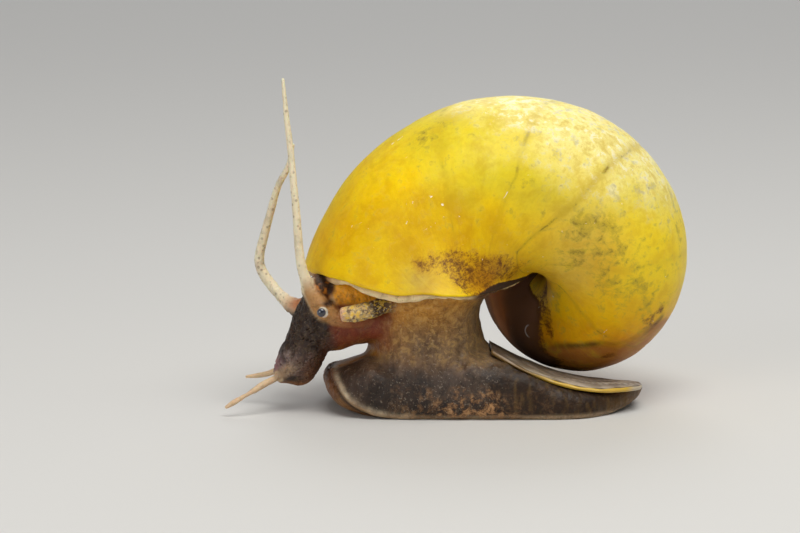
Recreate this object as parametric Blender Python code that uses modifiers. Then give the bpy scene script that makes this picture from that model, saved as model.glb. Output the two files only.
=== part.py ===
"""A life-size apple snail, crawling with its head low and its feelers out.

The snail faces -X and stands on z = 0. Its left side looks towards -Y, and the point
of its shell towards +Y. Sizes are in millimetres, and MM turns them into metres when
a mesh is made.
"""

import math

import bmesh
import bpy
import numpy as np
from mathutils import Vector

MM = 0.001
GAP = 0.3                  # space between pieces that touch in the living snail

# Shell: one tube whose section grows by WHORL_GROWTH each turn about the axis
WHORL_GROWTH = 2.58
AXIS_AT = (6.6, -7.0, 13.5)
AXIS_TURN = 19.0           # degrees that the point swings from +Y towards +X
AXIS_RISE = 1.7            # degrees that the point lifts
MOUTH_ROLL = -2.6          # degrees that the mouth is turned about the axis
MOUTH_REACH = 11.84        # from the axis to the middle of the mouth
MOUTH_HALF_WIDTH = 11.53
MOUTH_HALF_HEIGHT = 13.57
MOUTH_TILT = 2.6           # degrees
POINT_RISE = 25.97         # from the middle of the mouth to the point, along the axis
TURNS = 3.3
STEPS_A_TURN = 34          # rings in a turn at the mouth; the older whorls have fewer
LAP = 0.02                 # turns that each length of the tube runs into the next
LAP_STEP = 0.03            # and how much wider it is there
LENGTHS_END = (0.0, -0.85, -1.7, -2.55, -TURNS)   # turns at which the tube is parted and joined
PILLAR_FROM = 2.0          # height above the middle of the mouth where the pillar closes the navel
PILLAR_RADIUS = 0.9
PILLAR_TOP = POINT_RISE - 0.6
PILLAR_TAPER = ((0.5, 0.8), (0.85, 0.5), (1.0, 0.35))   # share of the top's height, radius
LIP_WALL = 1.0
LIP_BACK = 2.6             # degrees that the lip is scooped back over the siphon
LIP_BACK_AT = 290          # degrees round the mouth, from the outer lip through the point
MOUTH_DEPTH = 26.0         # degrees of the last whorl that the mantle fills
LIP_BAND = 0.45            # how far the mantle's edge stands out under the lip
CAVITY_MIDDLE = (-11.6, -4.6, 13.2)
CAVITY_HALF = (3.4, 9.2, 4.1)
AROUND = 28                # points round a section of the shell

# Body
BODY_Y = -4.6              # middle of the foot
HEAD_Y = -8.6              # middle of the head
VOXEL = 0.4                # grid that the body's forms are fused on
FLESH_TRIANGLES = 3600
SOLE_TOP_CUT = 5.2         # height of the cut between foot and stalk
FOOT_CUTS = (-5.0, 6.0)
NECK_CUTS = (-13.0, -9.0)
SNOUT_CUT = 6.35
FAR = 40.0                 # beyond the model on every side

# Sections of the foot: x, half width, underside, top, middle
FOOT_SECTIONS = [
    (-14.3, 3.0, 2.5, 3.4, -3.4),
    (-13.8, 5.6, 1.6, 4.0, -3.7),
    (-12.4, 7.9, 0.6, 4.3, -4.2),
    (-9.8, 9.0, -0.3, 4.9, -4.5),
    (-6.0, 9.5, -0.8, 6.4, BODY_Y),
    (-2.0, 9.8, -0.9, 8.2, BODY_Y),
    (2.5, 9.8, -0.9, 7.6, BODY_Y),
    (6.0, 9.7, -0.9, 6.0, BODY_Y),
    (9.5, 9.5, -0.9, 4.4, BODY_Y),
    (12.5, 8.9, -0.7, 3.5, BODY_Y),
    (15.0, 7.3, -0.4, 3.1, BODY_Y),
    (17.2, 4.9, 0.2, 2.9, BODY_Y),
    (18.7, 2.4, 0.9, 2.5, BODY_Y),
    (19.2, 0.9, 1.4, 2.1, BODY_Y),
]
FOOT_FLARE = 0.05          # how much wider the foot is at its lower edge

# Sections of the stalk: height, front, back, left side, right side
STALK_SECTIONS = [
    (1.0, -10.0, 5.2, -13.2, 4.2),
    (4.0, -9.2, 4.4, -13.4, 3.4),
    (6.5, -8.0, 3.0, -13.5, 3.0),
    (9.0, -8.4, 2.3, -13.9, 4.2),
    (10.6, -8.6, 2.6, -14.4, 5.0),
    (11.8, -8.5, 3.5, -15.1, 6.0),
    (13.5, -8.4, 4.6, -15.9, 7.2),
    (16.0, -8.4, 4.8, -16.2, 7.6),
]

# Sections of the neck, and of the head and snout: x, y, z, half thickness, half width
NECK_SECTIONS = [
    (-4.0, -6.6, 10.2, 3.0, 6.0),
    (-8.0, -7.4, 9.8, 2.45, 5.2),
    (-11.0, -8.0, 9.5, 2.5, 4.4),
    (-13.4, HEAD_Y, 9.3, 2.9, 3.9),
    (-15.2, HEAD_Y, 9.8, 2.2, 3.2),
]
SNOUT_SECTIONS = [
    (-14.3, HEAD_Y, 12.2, 1.5, 2.4),
    (-14.6, HEAD_Y, 11.2, 2.2, 3.3),
    (-15.1, HEAD_Y, 9.4, 2.5, 3.7),
    (-15.9, HEAD_Y, 7.4, 2.3, 3.5),
    (-16.7, HEAD_Y, 5.6, 2.45, 3.1),
    (-17.15, HEAD_Y, 4.2, 2.3, 2.6),
    (-17.3, HEAD_Y, 3.1, 1.7, 1.8),
]
CHEEK_AT = (-15.1, 2.5, 10.9)      # x, distance from the head's middle, z
CHEEK_RADIUS = 1.5
LIP_AT = (-18.6, 0.75, 4.3)
LIP_HALF = (1.0, 0.9, 1.4)
MOUTH_SLIT_X = (-20.2, -18.9)
MOUTH_SLIT_Z = (2.4, 5.4)
MOUTH_SLIT_HALF = 0.18

# Routes of the feelers, the siphon and the lip feelers: x, y, z, radius
FEELERS = {
    "left": [
        (-14.4, -10.3, 10.6, 1.6),
        (-15.1, -11.2, 12.1, 1.25),
        (-15.9, -12.0, 13.9, 0.75),
        (-16.5, -12.5, 16.0, 0.5),
        (-16.85, -12.8, 19.0, 0.44),
        (-17.1, -13.0, 23.0, 0.38),
        (-17.5, -13.0, 27.0, 0.34),
        (-17.9, -13.0, 31.0, 0.29),
        (-18.3, -13.0, 35.3, 0.16),
    ],
    "right": [
        (-15.4, -5.8, 10.4, 1.5),
        (-16.8, -5.0, 10.2, 1.15),
        (-18.2, -4.0, 10.8, 0.75),
        (-19.6, -3.0, 12.1, 0.6),
        (-20.9, -2.5, 13.9, 0.56),
        (-21.2, -2.5, 15.4, 0.52),
        (-20.7, -3.0, 17.7, 0.46),
        (-20.0, -4.0, 20.4, 0.41),
        (-19.1, -5.5, 23.3, 0.35),
        (-18.0, -7.0, 25.6, 0.29),
        (-17.4, -8.0, 28.0, 0.16),
    ],
}
FEELER_PARTS = (0.0, 0.36, 0.68, 1.0)      # shares of a feeler's length where it is parted
PALPS = {
    "left": [
        (-17.4, -9.0, 4.4, 0.5),
        (-18.8, -9.8, 3.9, 0.38),
        (-20.2, -10.8, 3.3, 0.33),
        (-21.6, -11.7, 2.6, 0.28),
        (-22.9, -12.3, 1.9, 0.25),
        (-24.4, -12.5, 1.0, 0.14),
    ],
    "right": [
        (-17.4, -7.0, 4.6, 0.5),
        (-19.0, -5.9, 3.9, 0.36),
        (-20.3, -5.0, 3.3, 0.3),
        (-21.4, -4.4, 3.0, 0.26),
        (-22.6, -4.0, 2.8, 0.14),
    ],
}
SIPHON = [
    (-6.0, -12.0, 12.3, 0.8),
    (-8.0, -13.4, 11.8, 0.9),
    (-9.8, -14.0, 11.35, 0.95),
    (-11.2, -14.0, 11.1, 0.85),
    (-12.3, -13.9, 11.0, 0.7),
]
RIGHT_LOBE_MIDDLE = (-11.8, -2.9, 11.6)
RIGHT_LOBE_HALF = (4.0, 1.4, 3.0)

# Eye stalks: x, distance from the head's middle, z, radius; the eye sits on the end
EYE_STALK = [
    (-13.5, 2.2, 10.7, 1.1),
    (-13.8, 3.4, 10.9, 0.95),
    (-14.1, 4.4, 11.05, 0.8),
    (-14.3, 5.0, 11.15, 0.72),
]
EYE_AT = (-14.42, 5.42, 11.2)
EYE_HALF = (0.5, 0.3, 0.5)
EYE_ROOM_AT = (-14.1, 4.7, 11.0)
EYE_ROOM_HALF = (1.6, 1.9, 1.5)

# Operculum: a shallow dish carried on the tail
OPERCULUM_MIDDLE = (9.1, -6.6)
OPERCULUM_HALF = (10.1, 6.8)
OPERCULUM_THICK = 0.55
OPERCULUM_LOW = 3.0
OPERCULUM_FLAT_FROM = 16.2
OPERCULUM_CURVE = 0.0243
OPERCULUM_FALL = 0.07
OPERCULUM_END = 3.2         # where it stops, just clear of the stalk

COLOURS = {
    "shell": ((0.74, 0.45, 0.02, 1.0), 0.28),
    "mantle": ((0.55, 0.36, 0.13, 1.0), 0.45),
    "operculum": ((0.30, 0.23, 0.08, 1.0), 0.50),
    "flesh": ((0.13, 0.085, 0.055, 1.0), 0.45),
    "head": ((0.05, 0.035, 0.03, 1.0), 0.40),
    "feeler": ((0.60, 0.48, 0.33, 1.0), 0.45),
    "siphon": ((0.55, 0.45, 0.20, 1.0), 0.45),
    "eye": ((0.01, 0.012, 0.03, 1.0), 0.08),
}


def clear_scene():
    """Removes every object that the file starts with."""
    for obj in list(bpy.data.objects):
        bpy.data.objects.remove(obj, do_unlink=True)


def new_collection(name, hidden=False):
    """Adds a collection to the scene; a hidden one holds cutters."""
    collection = bpy.data.collections.new(name)
    bpy.context.scene.collection.children.link(collection)
    collection.hide_render = hidden
    return collection


def finish_of(name):
    """Returns the material for a tissue, making it on first use."""
    if name in bpy.data.materials:
        return bpy.data.materials[name]
    colour, roughness = COLOURS[name]
    material = bpy.data.materials.new(name)
    material.use_nodes = True
    shader = material.node_tree.nodes["Principled BSDF"]
    shader.inputs["Base Color"].default_value = colour
    shader.inputs["Roughness"].default_value = roughness
    shader.inputs["Metallic"].default_value = 0.0
    return material


def add_mesh(name, points, faces, collection):
    """Makes an object from points in millimetres and faces, all facing outwards."""
    mesh = bpy.data.meshes.new(name)
    mesh.from_pydata([tuple(point) for point in np.asarray(points) * MM], [], faces)
    obj = bpy.data.objects.new(name, mesh)
    collection.objects.link(obj)
    face_outwards(obj)
    return obj


def face_outwards(obj):
    """Turns the faces of a closed mesh outwards and rounds its shading."""
    work = bmesh.new()
    work.from_mesh(obj.data)
    bmesh.ops.recalc_face_normals(work, faces=work.faces)
    work.to_mesh(obj.data)
    work.free()
    obj.data.shade_smooth()


def remove(*objects):
    """Deletes helper objects once they have done their work."""
    for obj in objects:
        bpy.data.objects.remove(obj, do_unlink=True)


def settle(obj):
    """Replaces the object's mesh by the one that its modifiers make."""
    graph = bpy.context.evaluated_depsgraph_get()
    graph.update()
    mesh = bpy.data.meshes.new_from_object(obj.evaluated_get(graph))
    obj.modifiers.clear()
    obj.data = mesh
    return obj


def combine(obj, others, operation):
    """Joins, cuts or crosses a closed mesh with others, one after another."""
    for other in others:
        modifier = obj.modifiers.new(operation.lower(), "BOOLEAN")
        modifier.operation = operation
        modifier.solver = "MANIFOLD"
        modifier.object = other
        settle(obj)
    return obj


def keep_largest(obj):
    """Keeps only the closed surface that holds the greatest volume."""
    work = bmesh.new()
    work.from_mesh(obj.data)
    left = set(work.faces)
    pieces = []
    while left:
        front = [left.pop()]
        piece = list(front)
        while front:
            face = front.pop()
            for edge in face.edges:
                for near in edge.link_faces if len(edge.link_faces) == 2 else ():
                    if near in left:
                        left.remove(near)
                        front.append(near)
                        piece.append(near)
        pieces.append(piece)
    best = max(pieces, key=surface_volume)
    dropped = [face for piece in pieces if piece is not best for face in piece]
    bmesh.ops.delete(work, geom=dropped, context="FACES")
    work.to_mesh(obj.data)
    work.free()
    obj.data.shade_smooth()
    return obj


def surface_volume(faces):
    """Volume inside a set of faces, from the cone that each makes with the origin."""
    total = 0.0
    for face in faces:
        corners = [vert.co for vert in face.verts]
        for one, two in zip(corners[1:], corners[2:]):
            total += corners[0].dot(one.cross(two)) / 6.0
    return total


def ring_solid(name, rings, collection, tips=(0.0, 0.0)):
    """Closes a stack of like rings with a fan at each end; a tip pushes its fan out."""
    rings = np.asarray(rings, float)
    count, around = rings.shape[:2]
    ends = []
    for ring, inner, push in ((rings[0], rings[1], tips[0]), (rings[-1], rings[-2], tips[1])):
        outward = ring.mean(axis=0) - inner.mean(axis=0)
        ends.append(ring.mean(axis=0) + push * outward / np.linalg.norm(outward))
    points = np.vstack([rings.reshape(-1, 3), ends])
    faces = []
    for row in range(count - 1):
        for step in range(around):
            after = (step + 1) % around
            low, high = row * around, (row + 1) * around
            faces.append((low + step, low + after, high + after, high + step))
    last = (count - 1) * around
    for step in range(around):
        after = (step + 1) % around
        faces.append((after, step, count * around))
        faces.append((last + step, last + after, count * around + 1))
    return add_mesh(name, points, faces, collection)


def signed_power(value, power):
    """Raises the size of a value to a power and keeps its sign."""
    return np.sign(value) * np.abs(value) ** power


def smooth_rows(rows, per_span):
    """Passes a Catmull-Rom curve through rows of numbers."""
    rows = np.asarray(rows, float)
    padded = np.vstack([2 * rows[0] - rows[1], rows, 2 * rows[-1] - rows[-2]])
    result = []
    for index in range(1, len(padded) - 2):
        before, start, end, after = padded[index - 1:index + 3]
        for share in np.arange(per_span) / per_span:
            result.append(0.5 * (
                2 * start
                + (end - before) * share
                + (2 * before - 5 * start + 4 * end - after) * share ** 2
                + (3 * start - before - 3 * end + after) * share ** 3
            ))
    result.append(rows[-1])
    return np.array(result)


def axis_frame():
    """Returns the outer-lip, growth and point directions of the shell."""
    turn = math.radians(AXIS_TURN)
    rise = math.radians(AXIS_RISE)
    roll = math.radians(MOUTH_ROLL)
    point = np.array([math.sin(turn) * math.cos(rise), math.cos(turn) * math.cos(rise), math.sin(rise)])
    lip = np.array([-1.0, 0.0, 0.0])
    lip -= point * lip.dot(point)
    lip /= np.linalg.norm(lip)
    growth = -np.cross(lip, point)
    if np.cross(lip, growth).dot(point) > 0:
        growth = -growth
    turned_lip = lip * math.cos(roll) + growth * math.sin(roll)
    turned_growth = growth * math.cos(roll) - lip * math.sin(roll)
    return turned_lip, turned_growth, point


def whorl_ring(turn, around=AROUND, swell=0.0, lip=False):
    """Ring of the shell's tube at a turn; u runs from the outer lip towards the point.

    The section is an oval, squarer towards the navel and a little towards the suture.
    swell moves it out by that many millimetres, and lip scoops the edge back.
    """
    u = np.arange(around) * 2 * math.pi / around
    navel = np.clip(np.cos(u - math.radians(225)), 0, 1) ** 1.5
    suture = np.clip(np.cos(u - math.radians(50)), 0, 1) ** 2
    power = 1 - 0.4 * navel - 0.15 * suture
    scale = WHORL_GROWTH ** turn
    out = signed_power(np.cos(u), power) * (MOUTH_HALF_WIDTH * scale + swell)
    along = signed_power(np.sin(u), power) * (MOUTH_HALF_HEIGHT * scale + swell)
    tilt = math.radians(MOUTH_TILT)
    radius = MOUTH_REACH * scale + out * math.cos(tilt) - along * math.sin(tilt)
    height = POINT_RISE * (1 - scale) + out * math.sin(tilt) + along * math.cos(tilt)
    back = LIP_BACK * np.clip(np.cos(u - math.radians(LIP_BACK_AT)), 0, 1) ** 8 if lip else 0.0
    angle = 2 * math.pi * turn - np.radians(back)
    outer_lip, growth, point = axis_frame()
    return (
        np.array(AXIS_AT)
        + np.outer(radius * np.cos(angle), outer_lip)
        + np.outer(radius * np.sin(angle), growth)
        + np.outer(height, point)
    )


def whorl_length(
    name, start, end, steps, collection, swell=0.0, lip=False, carry=0.0, tips=(0.0, 0.0), around=AROUND
):
    """One stretch of the shell's tube, from turn start (older) to end (younger).

    carry adds a last ring that stands straight out of the mouth by that many millimetres.
    """
    rings = [whorl_ring(turn, around, swell) for turn in np.linspace(start, end, steps + 1)]
    if lip:
        rings[-1] = whorl_ring(end, around, swell, True)
    if carry:
        rings.append(whorl_ring(end, around, swell, lip) + carry * axis_frame()[1])
    return ring_solid(name, rings, collection, tips)


def make_shell(parts, cutters):
    """The coiled shell, solid but for the mouth that the mantle fills."""
    shell = whorl_length("shell", LENGTHS_END[1], LENGTHS_END[0], 26, parts, lip=True)
    recess = whorl_length("recess", -MOUTH_DEPTH / 360, 0.0, 4, cutters, swell=-LIP_WALL, carry=3.0)
    combine(shell, [recess], "DIFFERENCE")
    remove(recess)
    for index, (end, start) in enumerate(zip(LENGTHS_END[1:], LENGTHS_END[2:])):
        tip = 0.5 if start == -TURNS else 0.0
        steps = round(STEPS_A_TURN * (end - start) / (1 - 0.4 * start))
        swell = LAP_STEP * (index + 1)
        older = whorl_length("older", start, end + LAP, steps, cutters, swell=swell, tips=(tip, 0.0))
        combine(shell, [older], "UNION")
        remove(older)
    pillar = make_pillar(cutters)
    combine(shell, [pillar], "UNION")
    remove(pillar)
    return keep_largest(shell)


def make_pillar(cutters):
    """The solid pillar about the axis, a cone that ends inside the first whorls."""
    outer_lip, growth, point = axis_frame()
    u = np.arange(12) * 2 * math.pi / 12
    circle = np.outer(np.cos(u), outer_lip) + np.outer(np.sin(u), growth)
    stations = [(PILLAR_FROM, PILLAR_RADIUS)]
    stations += [(share * PILLAR_TOP, radius) for share, radius in PILLAR_TAPER]
    rings = [np.array(AXIS_AT) + height * point + radius * circle for height, radius in stations]
    return ring_solid("pillar", rings, cutters)


def shell_room(cutters, swell, carry):
    """Cutter: the last two turns of the shell without the mouth, grown on every side."""
    room = whorl_length("room", -0.8, 0.0, 14, cutters, swell=swell, lip=True, carry=carry, around=20)
    older = whorl_length("older", -1.6, -0.78, 13, cutters, swell=swell + LAP_STEP, around=20)
    combine(room, [older], "UNION")
    remove(older)
    return room


def make_mantle(parts, cutters):
    """The mantle: a plug in the mouth, with the edge that shows under the lip."""
    inner_turn = -(MOUTH_DEPTH - 1.5) / 360
    inset = -LIP_WALL - GAP
    mantle = whorl_length("mantle", inner_turn, 0.0, 4, parts, swell=inset, lip=True, carry=LIP_BAND)
    older = whorl_length("older", -1.25, -0.75, 12, cutters, swell=GAP)
    cavity = ball("cavity", CAVITY_MIDDLE, CAVITY_HALF, cutters)
    combine(mantle, [older, cavity], "DIFFERENCE")
    remove(older, cavity)
    return keep_largest(mantle)


def ball(name, centre, half_sizes, collection, segments=20, rings=12):
    """An ellipsoid with its axes along X, Y and Z."""
    work = bmesh.new()
    bmesh.ops.create_uvsphere(work, u_segments=segments, v_segments=rings, radius=1.0)
    for vert in work.verts:
        place = [middle + half * part for middle, half, part in zip(centre, half_sizes, vert.co)]
        vert.co = Vector(place) * MM
    mesh = bpy.data.meshes.new(name)
    work.to_mesh(mesh)
    work.free()
    mesh.shade_smooth()
    obj = bpy.data.objects.new(name, mesh)
    collection.objects.link(obj)
    return obj


def box(name, low, high, collection):
    """A box between two corners."""
    work = bmesh.new()
    bmesh.ops.create_cube(work, size=1.0)
    for vert in work.verts:
        place = [a + (b - a) * (part + 0.5) for a, b, part in zip(low, high, vert.co)]
        vert.co = Vector(place) * MM
    mesh = bpy.data.meshes.new(name)
    work.to_mesh(mesh)
    work.free()
    obj = bpy.data.objects.new(name, mesh)
    collection.objects.link(obj)
    return obj


def foot_form(cutters):
    """The foot, a stack of flattened ovals along X that are wider at their lower edge."""
    u = np.arange(36) * 2 * math.pi / 36
    power = np.where(np.sin(u) > 0, 0.7, 0.5)
    across = signed_power(np.cos(u), power)
    upward = signed_power(np.sin(u), power)
    flare = 1 + FOOT_FLARE * (1 - upward)
    rings = [
        np.column_stack([
            np.full(36, x),
            middle + half * across * flare,
            (low + high) / 2 + (high - low) / 2 * upward,
        ])
        for x, half, low, high, middle in smooth_rows(FOOT_SECTIONS, 3)
    ]
    return ring_solid("foot_form", rings, cutters, (0.3, 0.3))


def stalk_form(cutters):
    """The column from the foot into the mouth, a stack of rounded oblongs."""
    u = np.arange(36) * 2 * math.pi / 36
    rings = [
        np.column_stack([
            (front + back) / 2 + (back - front) / 2 * signed_power(np.cos(u), 0.75),
            (left + right) / 2 + (right - left) / 2 * signed_power(np.sin(u), 0.75),
            np.full(36, z),
        ])
        for z, front, back, left, right in smooth_rows(STALK_SECTIONS, 4)
    ]
    return ring_solid("stalk_form", rings, cutters)


def bent_form(name, sections, cutters, power=0.9):
    """A form bent in the plane of X and Z, with an oval section square to its run."""
    rows = smooth_rows(sections, 4)
    along = np.gradient(rows[:, (0, 2)], axis=0)
    along /= np.linalg.norm(along, axis=1)[:, None]
    u = np.arange(32) * 2 * math.pi / 32
    rings = []
    for (x, y, z, thick, wide), (run, climb) in zip(rows, along):
        up = thick * signed_power(np.sin(u), power)
        rings.append(np.column_stack([
            x - climb * up,
            y + wide * signed_power(np.cos(u), power),
            z + run * up,
        ]))
    return ring_solid(name, rings, cutters, (0.4, 0.4))


def beside_head(place, side):
    """A place given by its distance from the head's middle, on the left (-1) or right (1)."""
    x, aside, z = place
    return x, HEAD_Y + side * aside, z


def make_flesh(cutters, room):
    """The whole body as one smooth solid, flat under the sole and clear of the shell."""
    forms = [
        foot_form(cutters),
        stalk_form(cutters),
        bent_form("neck_form", NECK_SECTIONS, cutters),
        bent_form("snout_form", SNOUT_SECTIONS, cutters),
    ]
    for side in (-1, 1):
        forms.append(ball("cheek", beside_head(CHEEK_AT, side), [CHEEK_RADIUS] * 3, cutters))
        forms.append(ball("lip", beside_head(LIP_AT, side), LIP_HALF, cutters))
    work = bmesh.new()
    for form in forms:
        work.from_mesh(form.data)
    mesh = bpy.data.meshes.new("flesh")
    work.to_mesh(mesh)
    work.free()
    remove(*forms)
    flesh = bpy.data.objects.new("flesh", mesh)
    cutters.objects.link(flesh)
    skin = flesh.modifiers.new("skin", "REMESH")
    skin.mode = "VOXEL"
    skin.voxel_size = VOXEL * MM
    soften = flesh.modifiers.new("soften", "SMOOTH")
    soften.factor = 0.5
    soften.iterations = 8
    settle(flesh)
    lighten = flesh.modifiers.new("lighten", "DECIMATE")
    lighten.ratio = FLESH_TRIANGLES / (2 * len(flesh.data.polygons))
    settle(flesh)
    keep_largest(flesh)
    below = box("below", (-FAR, -FAR, -10), (FAR, FAR, 0), cutters)
    slit_low, slit_high = (
        (x, HEAD_Y + side * MOUTH_SLIT_HALF, z)
        for side, x, z in zip((-1, 1), MOUTH_SLIT_X, MOUTH_SLIT_Z)
    )
    mouth_slit = box("mouth_slit", slit_low, slit_high, cutters)
    combine(flesh, [below, mouth_slit, room], "DIFFERENCE")
    remove(below, mouth_slit)
    return keep_largest(flesh)


def operculum_height(x, y):
    """Height of the operculum's upper face: a curve along the tail, falling away from the left edge."""
    near = OPERCULUM_MIDDLE[1] - OPERCULUM_HALF[1]
    curve = OPERCULUM_CURVE * np.clip(OPERCULUM_FLAT_FROM - x, 0, None) ** 2
    return OPERCULUM_LOW + curve - OPERCULUM_FALL * (y - near)


def oval_slab(name, grow, lower, upper, collection):
    """An oval slab that follows the operculum, from lower to upper beside its upper face."""
    spokes = 32
    u = np.arange(spokes) * 2 * math.pi / spokes
    discs = []
    for share in (0.35, 0.65, 0.88, 1.0):
        x = OPERCULUM_MIDDLE[0] + (OPERCULUM_HALF[0] + grow) * share * signed_power(np.cos(u), 0.9)
        y = OPERCULUM_MIDDLE[1] + (OPERCULUM_HALF[1] + grow) * share * signed_power(np.sin(u), 0.9)
        discs.append(np.column_stack([x, y, operculum_height(x, y)]))
    under = [disc + (0, 0, lower) for disc in discs]
    over = [disc + (0, 0, upper) for disc in reversed(discs)]
    rings = np.array(under + over)
    return ring_solid(name, rings, collection)


def make_operculum(parts, cutters):
    """The horny lid on the tail, cut short where the stalk stands."""
    operculum = oval_slab("operculum", 0.0, -OPERCULUM_THICK, 0.0, parts)
    stalk_side = box("stalk_side", (-FAR, -FAR, -10), (OPERCULUM_END, FAR, FAR), cutters)
    combine(operculum, [stalk_side], "DIFFERENCE")
    remove(stalk_side)
    return keep_largest(operculum)


def part_of_flesh(name, flesh, low, high, parts, cutters):
    """The flesh inside a box, as a node of its own."""
    region = box("region", low, high, cutters)
    piece = bpy.data.objects.new(name, flesh.data.copy())
    parts.objects.link(piece)
    combine(piece, [region], "INTERSECT")
    remove(region)
    return keep_largest(piece)


def grown_copy(obj, by, cutters):
    """A copy of a closed mesh, moved out by the gap and closed again."""
    grown = bpy.data.objects.new("grown", obj.data.copy())
    cutters.objects.link(grown)
    swell = grown.modifiers.new("swell", "DISPLACE")
    swell.mid_level = 0.0
    swell.strength = by * MM
    close = grown.modifiers.new("close", "REMESH")
    close.mode = "VOXEL"
    close.voxel_size = 0.2 * MM
    lighten = grown.modifiers.new("lighten", "DECIMATE")
    lighten.ratio = 0.06
    settle(grown)
    return keep_largest(grown)


def tube(name, route, radii, collection, sides=2):
    """A tapering round piece along a route, as a curve with a bevel."""
    curve = bpy.data.curves.new(name, "CURVE")
    curve.dimensions = "3D"
    curve.bevel_depth = MM
    curve.bevel_resolution = sides
    curve.use_fill_caps = True
    spline = curve.splines.new("POLY")
    spline.points.add(len(route) - 1)
    for point, place, radius in zip(spline.points, route, radii):
        point.co = (*(np.asarray(place) * MM), 1.0)
        point.radius = radius
    obj = bpy.data.objects.new(name, curve)
    collection.objects.link(obj)
    return obj


def tube_mesh(name, route, radii, collection, sides=2):
    """The same piece as a closed mesh, ready to be cut."""
    source = tube(name + "_route", route, radii, collection, sides)
    graph = bpy.context.evaluated_depsgraph_get()
    mesh = bpy.data.meshes.new_from_object(source.evaluated_get(graph))
    work = bmesh.new()
    work.from_mesh(mesh)
    bmesh.ops.remove_doubles(work, verts=work.verts, dist=1e-6)
    bmesh.ops.recalc_face_normals(work, faces=work.faces)
    work.to_mesh(mesh)
    work.free()
    obj = bpy.data.objects.new(name, mesh)
    obj.matrix_world = source.matrix_world
    collection.objects.link(obj)
    remove(source)
    mesh.shade_smooth()
    return obj


def rooted(name, route, radii, parts, blockers, sides=2):
    """A piece that starts inside others and is cut back to stand just clear of them."""
    piece = tube_mesh(name, route, radii, parts, sides)
    combine(piece, blockers, "DIFFERENCE")
    return keep_largest(piece)


def make_feelers(parts, blocker):
    """Each feeler in three lengths: a base cut to the head, a middle and a tip."""
    for side, route in FEELERS.items():
        rows = smooth_rows(route, 4)
        run = np.concatenate([[0], np.cumsum(np.linalg.norm(np.diff(rows[:, :3], axis=0), axis=1))])
        marks = np.array(FEELER_PARTS) * run[-1]
        for index, length in enumerate(("base", "mid", "tip")):
            start = marks[index] + (GAP if index else 0.0)
            places = np.linspace(start, marks[index + 1], 11)
            stretch = np.column_stack([np.interp(places, run, rows[:, column]) for column in range(4)])
            name = f"tentacle_{side}_{length}"
            if index:
                tube(name, stretch[:, :3], stretch[:, 3], parts)
            else:
                rooted(name, stretch[:, :3], stretch[:, 3], parts, [blocker])


def make_eyes(parts, blocker):
    """The short eye stalks behind the feelers, and the eyes on their ends."""
    for side, name in ((-1, "left"), (1, "right")):
        route = [beside_head(station[:3], side) for station in EYE_STALK]
        radii = [station[3] for station in EYE_STALK]
        rooted("eyestalk_" + name, route, radii, parts, [blocker], 3)
        ball("eye_" + name, beside_head(EYE_AT, side), EYE_HALF, parts, 14, 8)


def make_siphon(parts, blocker):
    """The breathing tube, drawn in and lying along the left of the neck."""
    rows = smooth_rows(SIPHON, 4)
    rooted("siphon", rows[:, :3], rows[:, 3], parts, [blocker], 3)


def make_right_lobe(parts, cutters, blockers):
    """The flap on the right of the neck that answers the siphon and walls the mantle's cavity."""
    lobe = ball("nuchal_lobe_right", RIGHT_LOBE_MIDDLE, RIGHT_LOBE_HALF, parts)
    eye_room = ball("eye_room", beside_head(EYE_ROOM_AT, 1), EYE_ROOM_HALF, cutters, 12, 8)
    combine(lobe, [*blockers, eye_room], "DIFFERENCE")
    remove(eye_room)
    keep_largest(lobe)


def make_palps(parts, blocker):
    """The two lip feelers, spread forwards and down."""
    for side, route in PALPS.items():
        rows = smooth_rows(route, 4)
        rooted("palp_" + side, rows[:, :3], rows[:, 3], parts, [blocker])


def colour_parts(parts):
    """Gives every node the material of its tissue."""
    tissues = {
        "shell": "shell", "mantle": "mantle", "operculum": "operculum", "foot": "flesh", "stalk": "flesh",
        "neck": "flesh", "nuchal": "flesh", "head": "head", "snout": "head", "tentacle": "feeler",
        "palp": "feeler", "eyestalk": "feeler", "siphon": "siphon", "eye": "eye",
    }
    for obj in parts.objects:
        tissue = tissues[obj.name.split("_")[0]]
        obj.data.materials.clear()
        obj.data.materials.append(finish_of(tissue))


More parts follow.
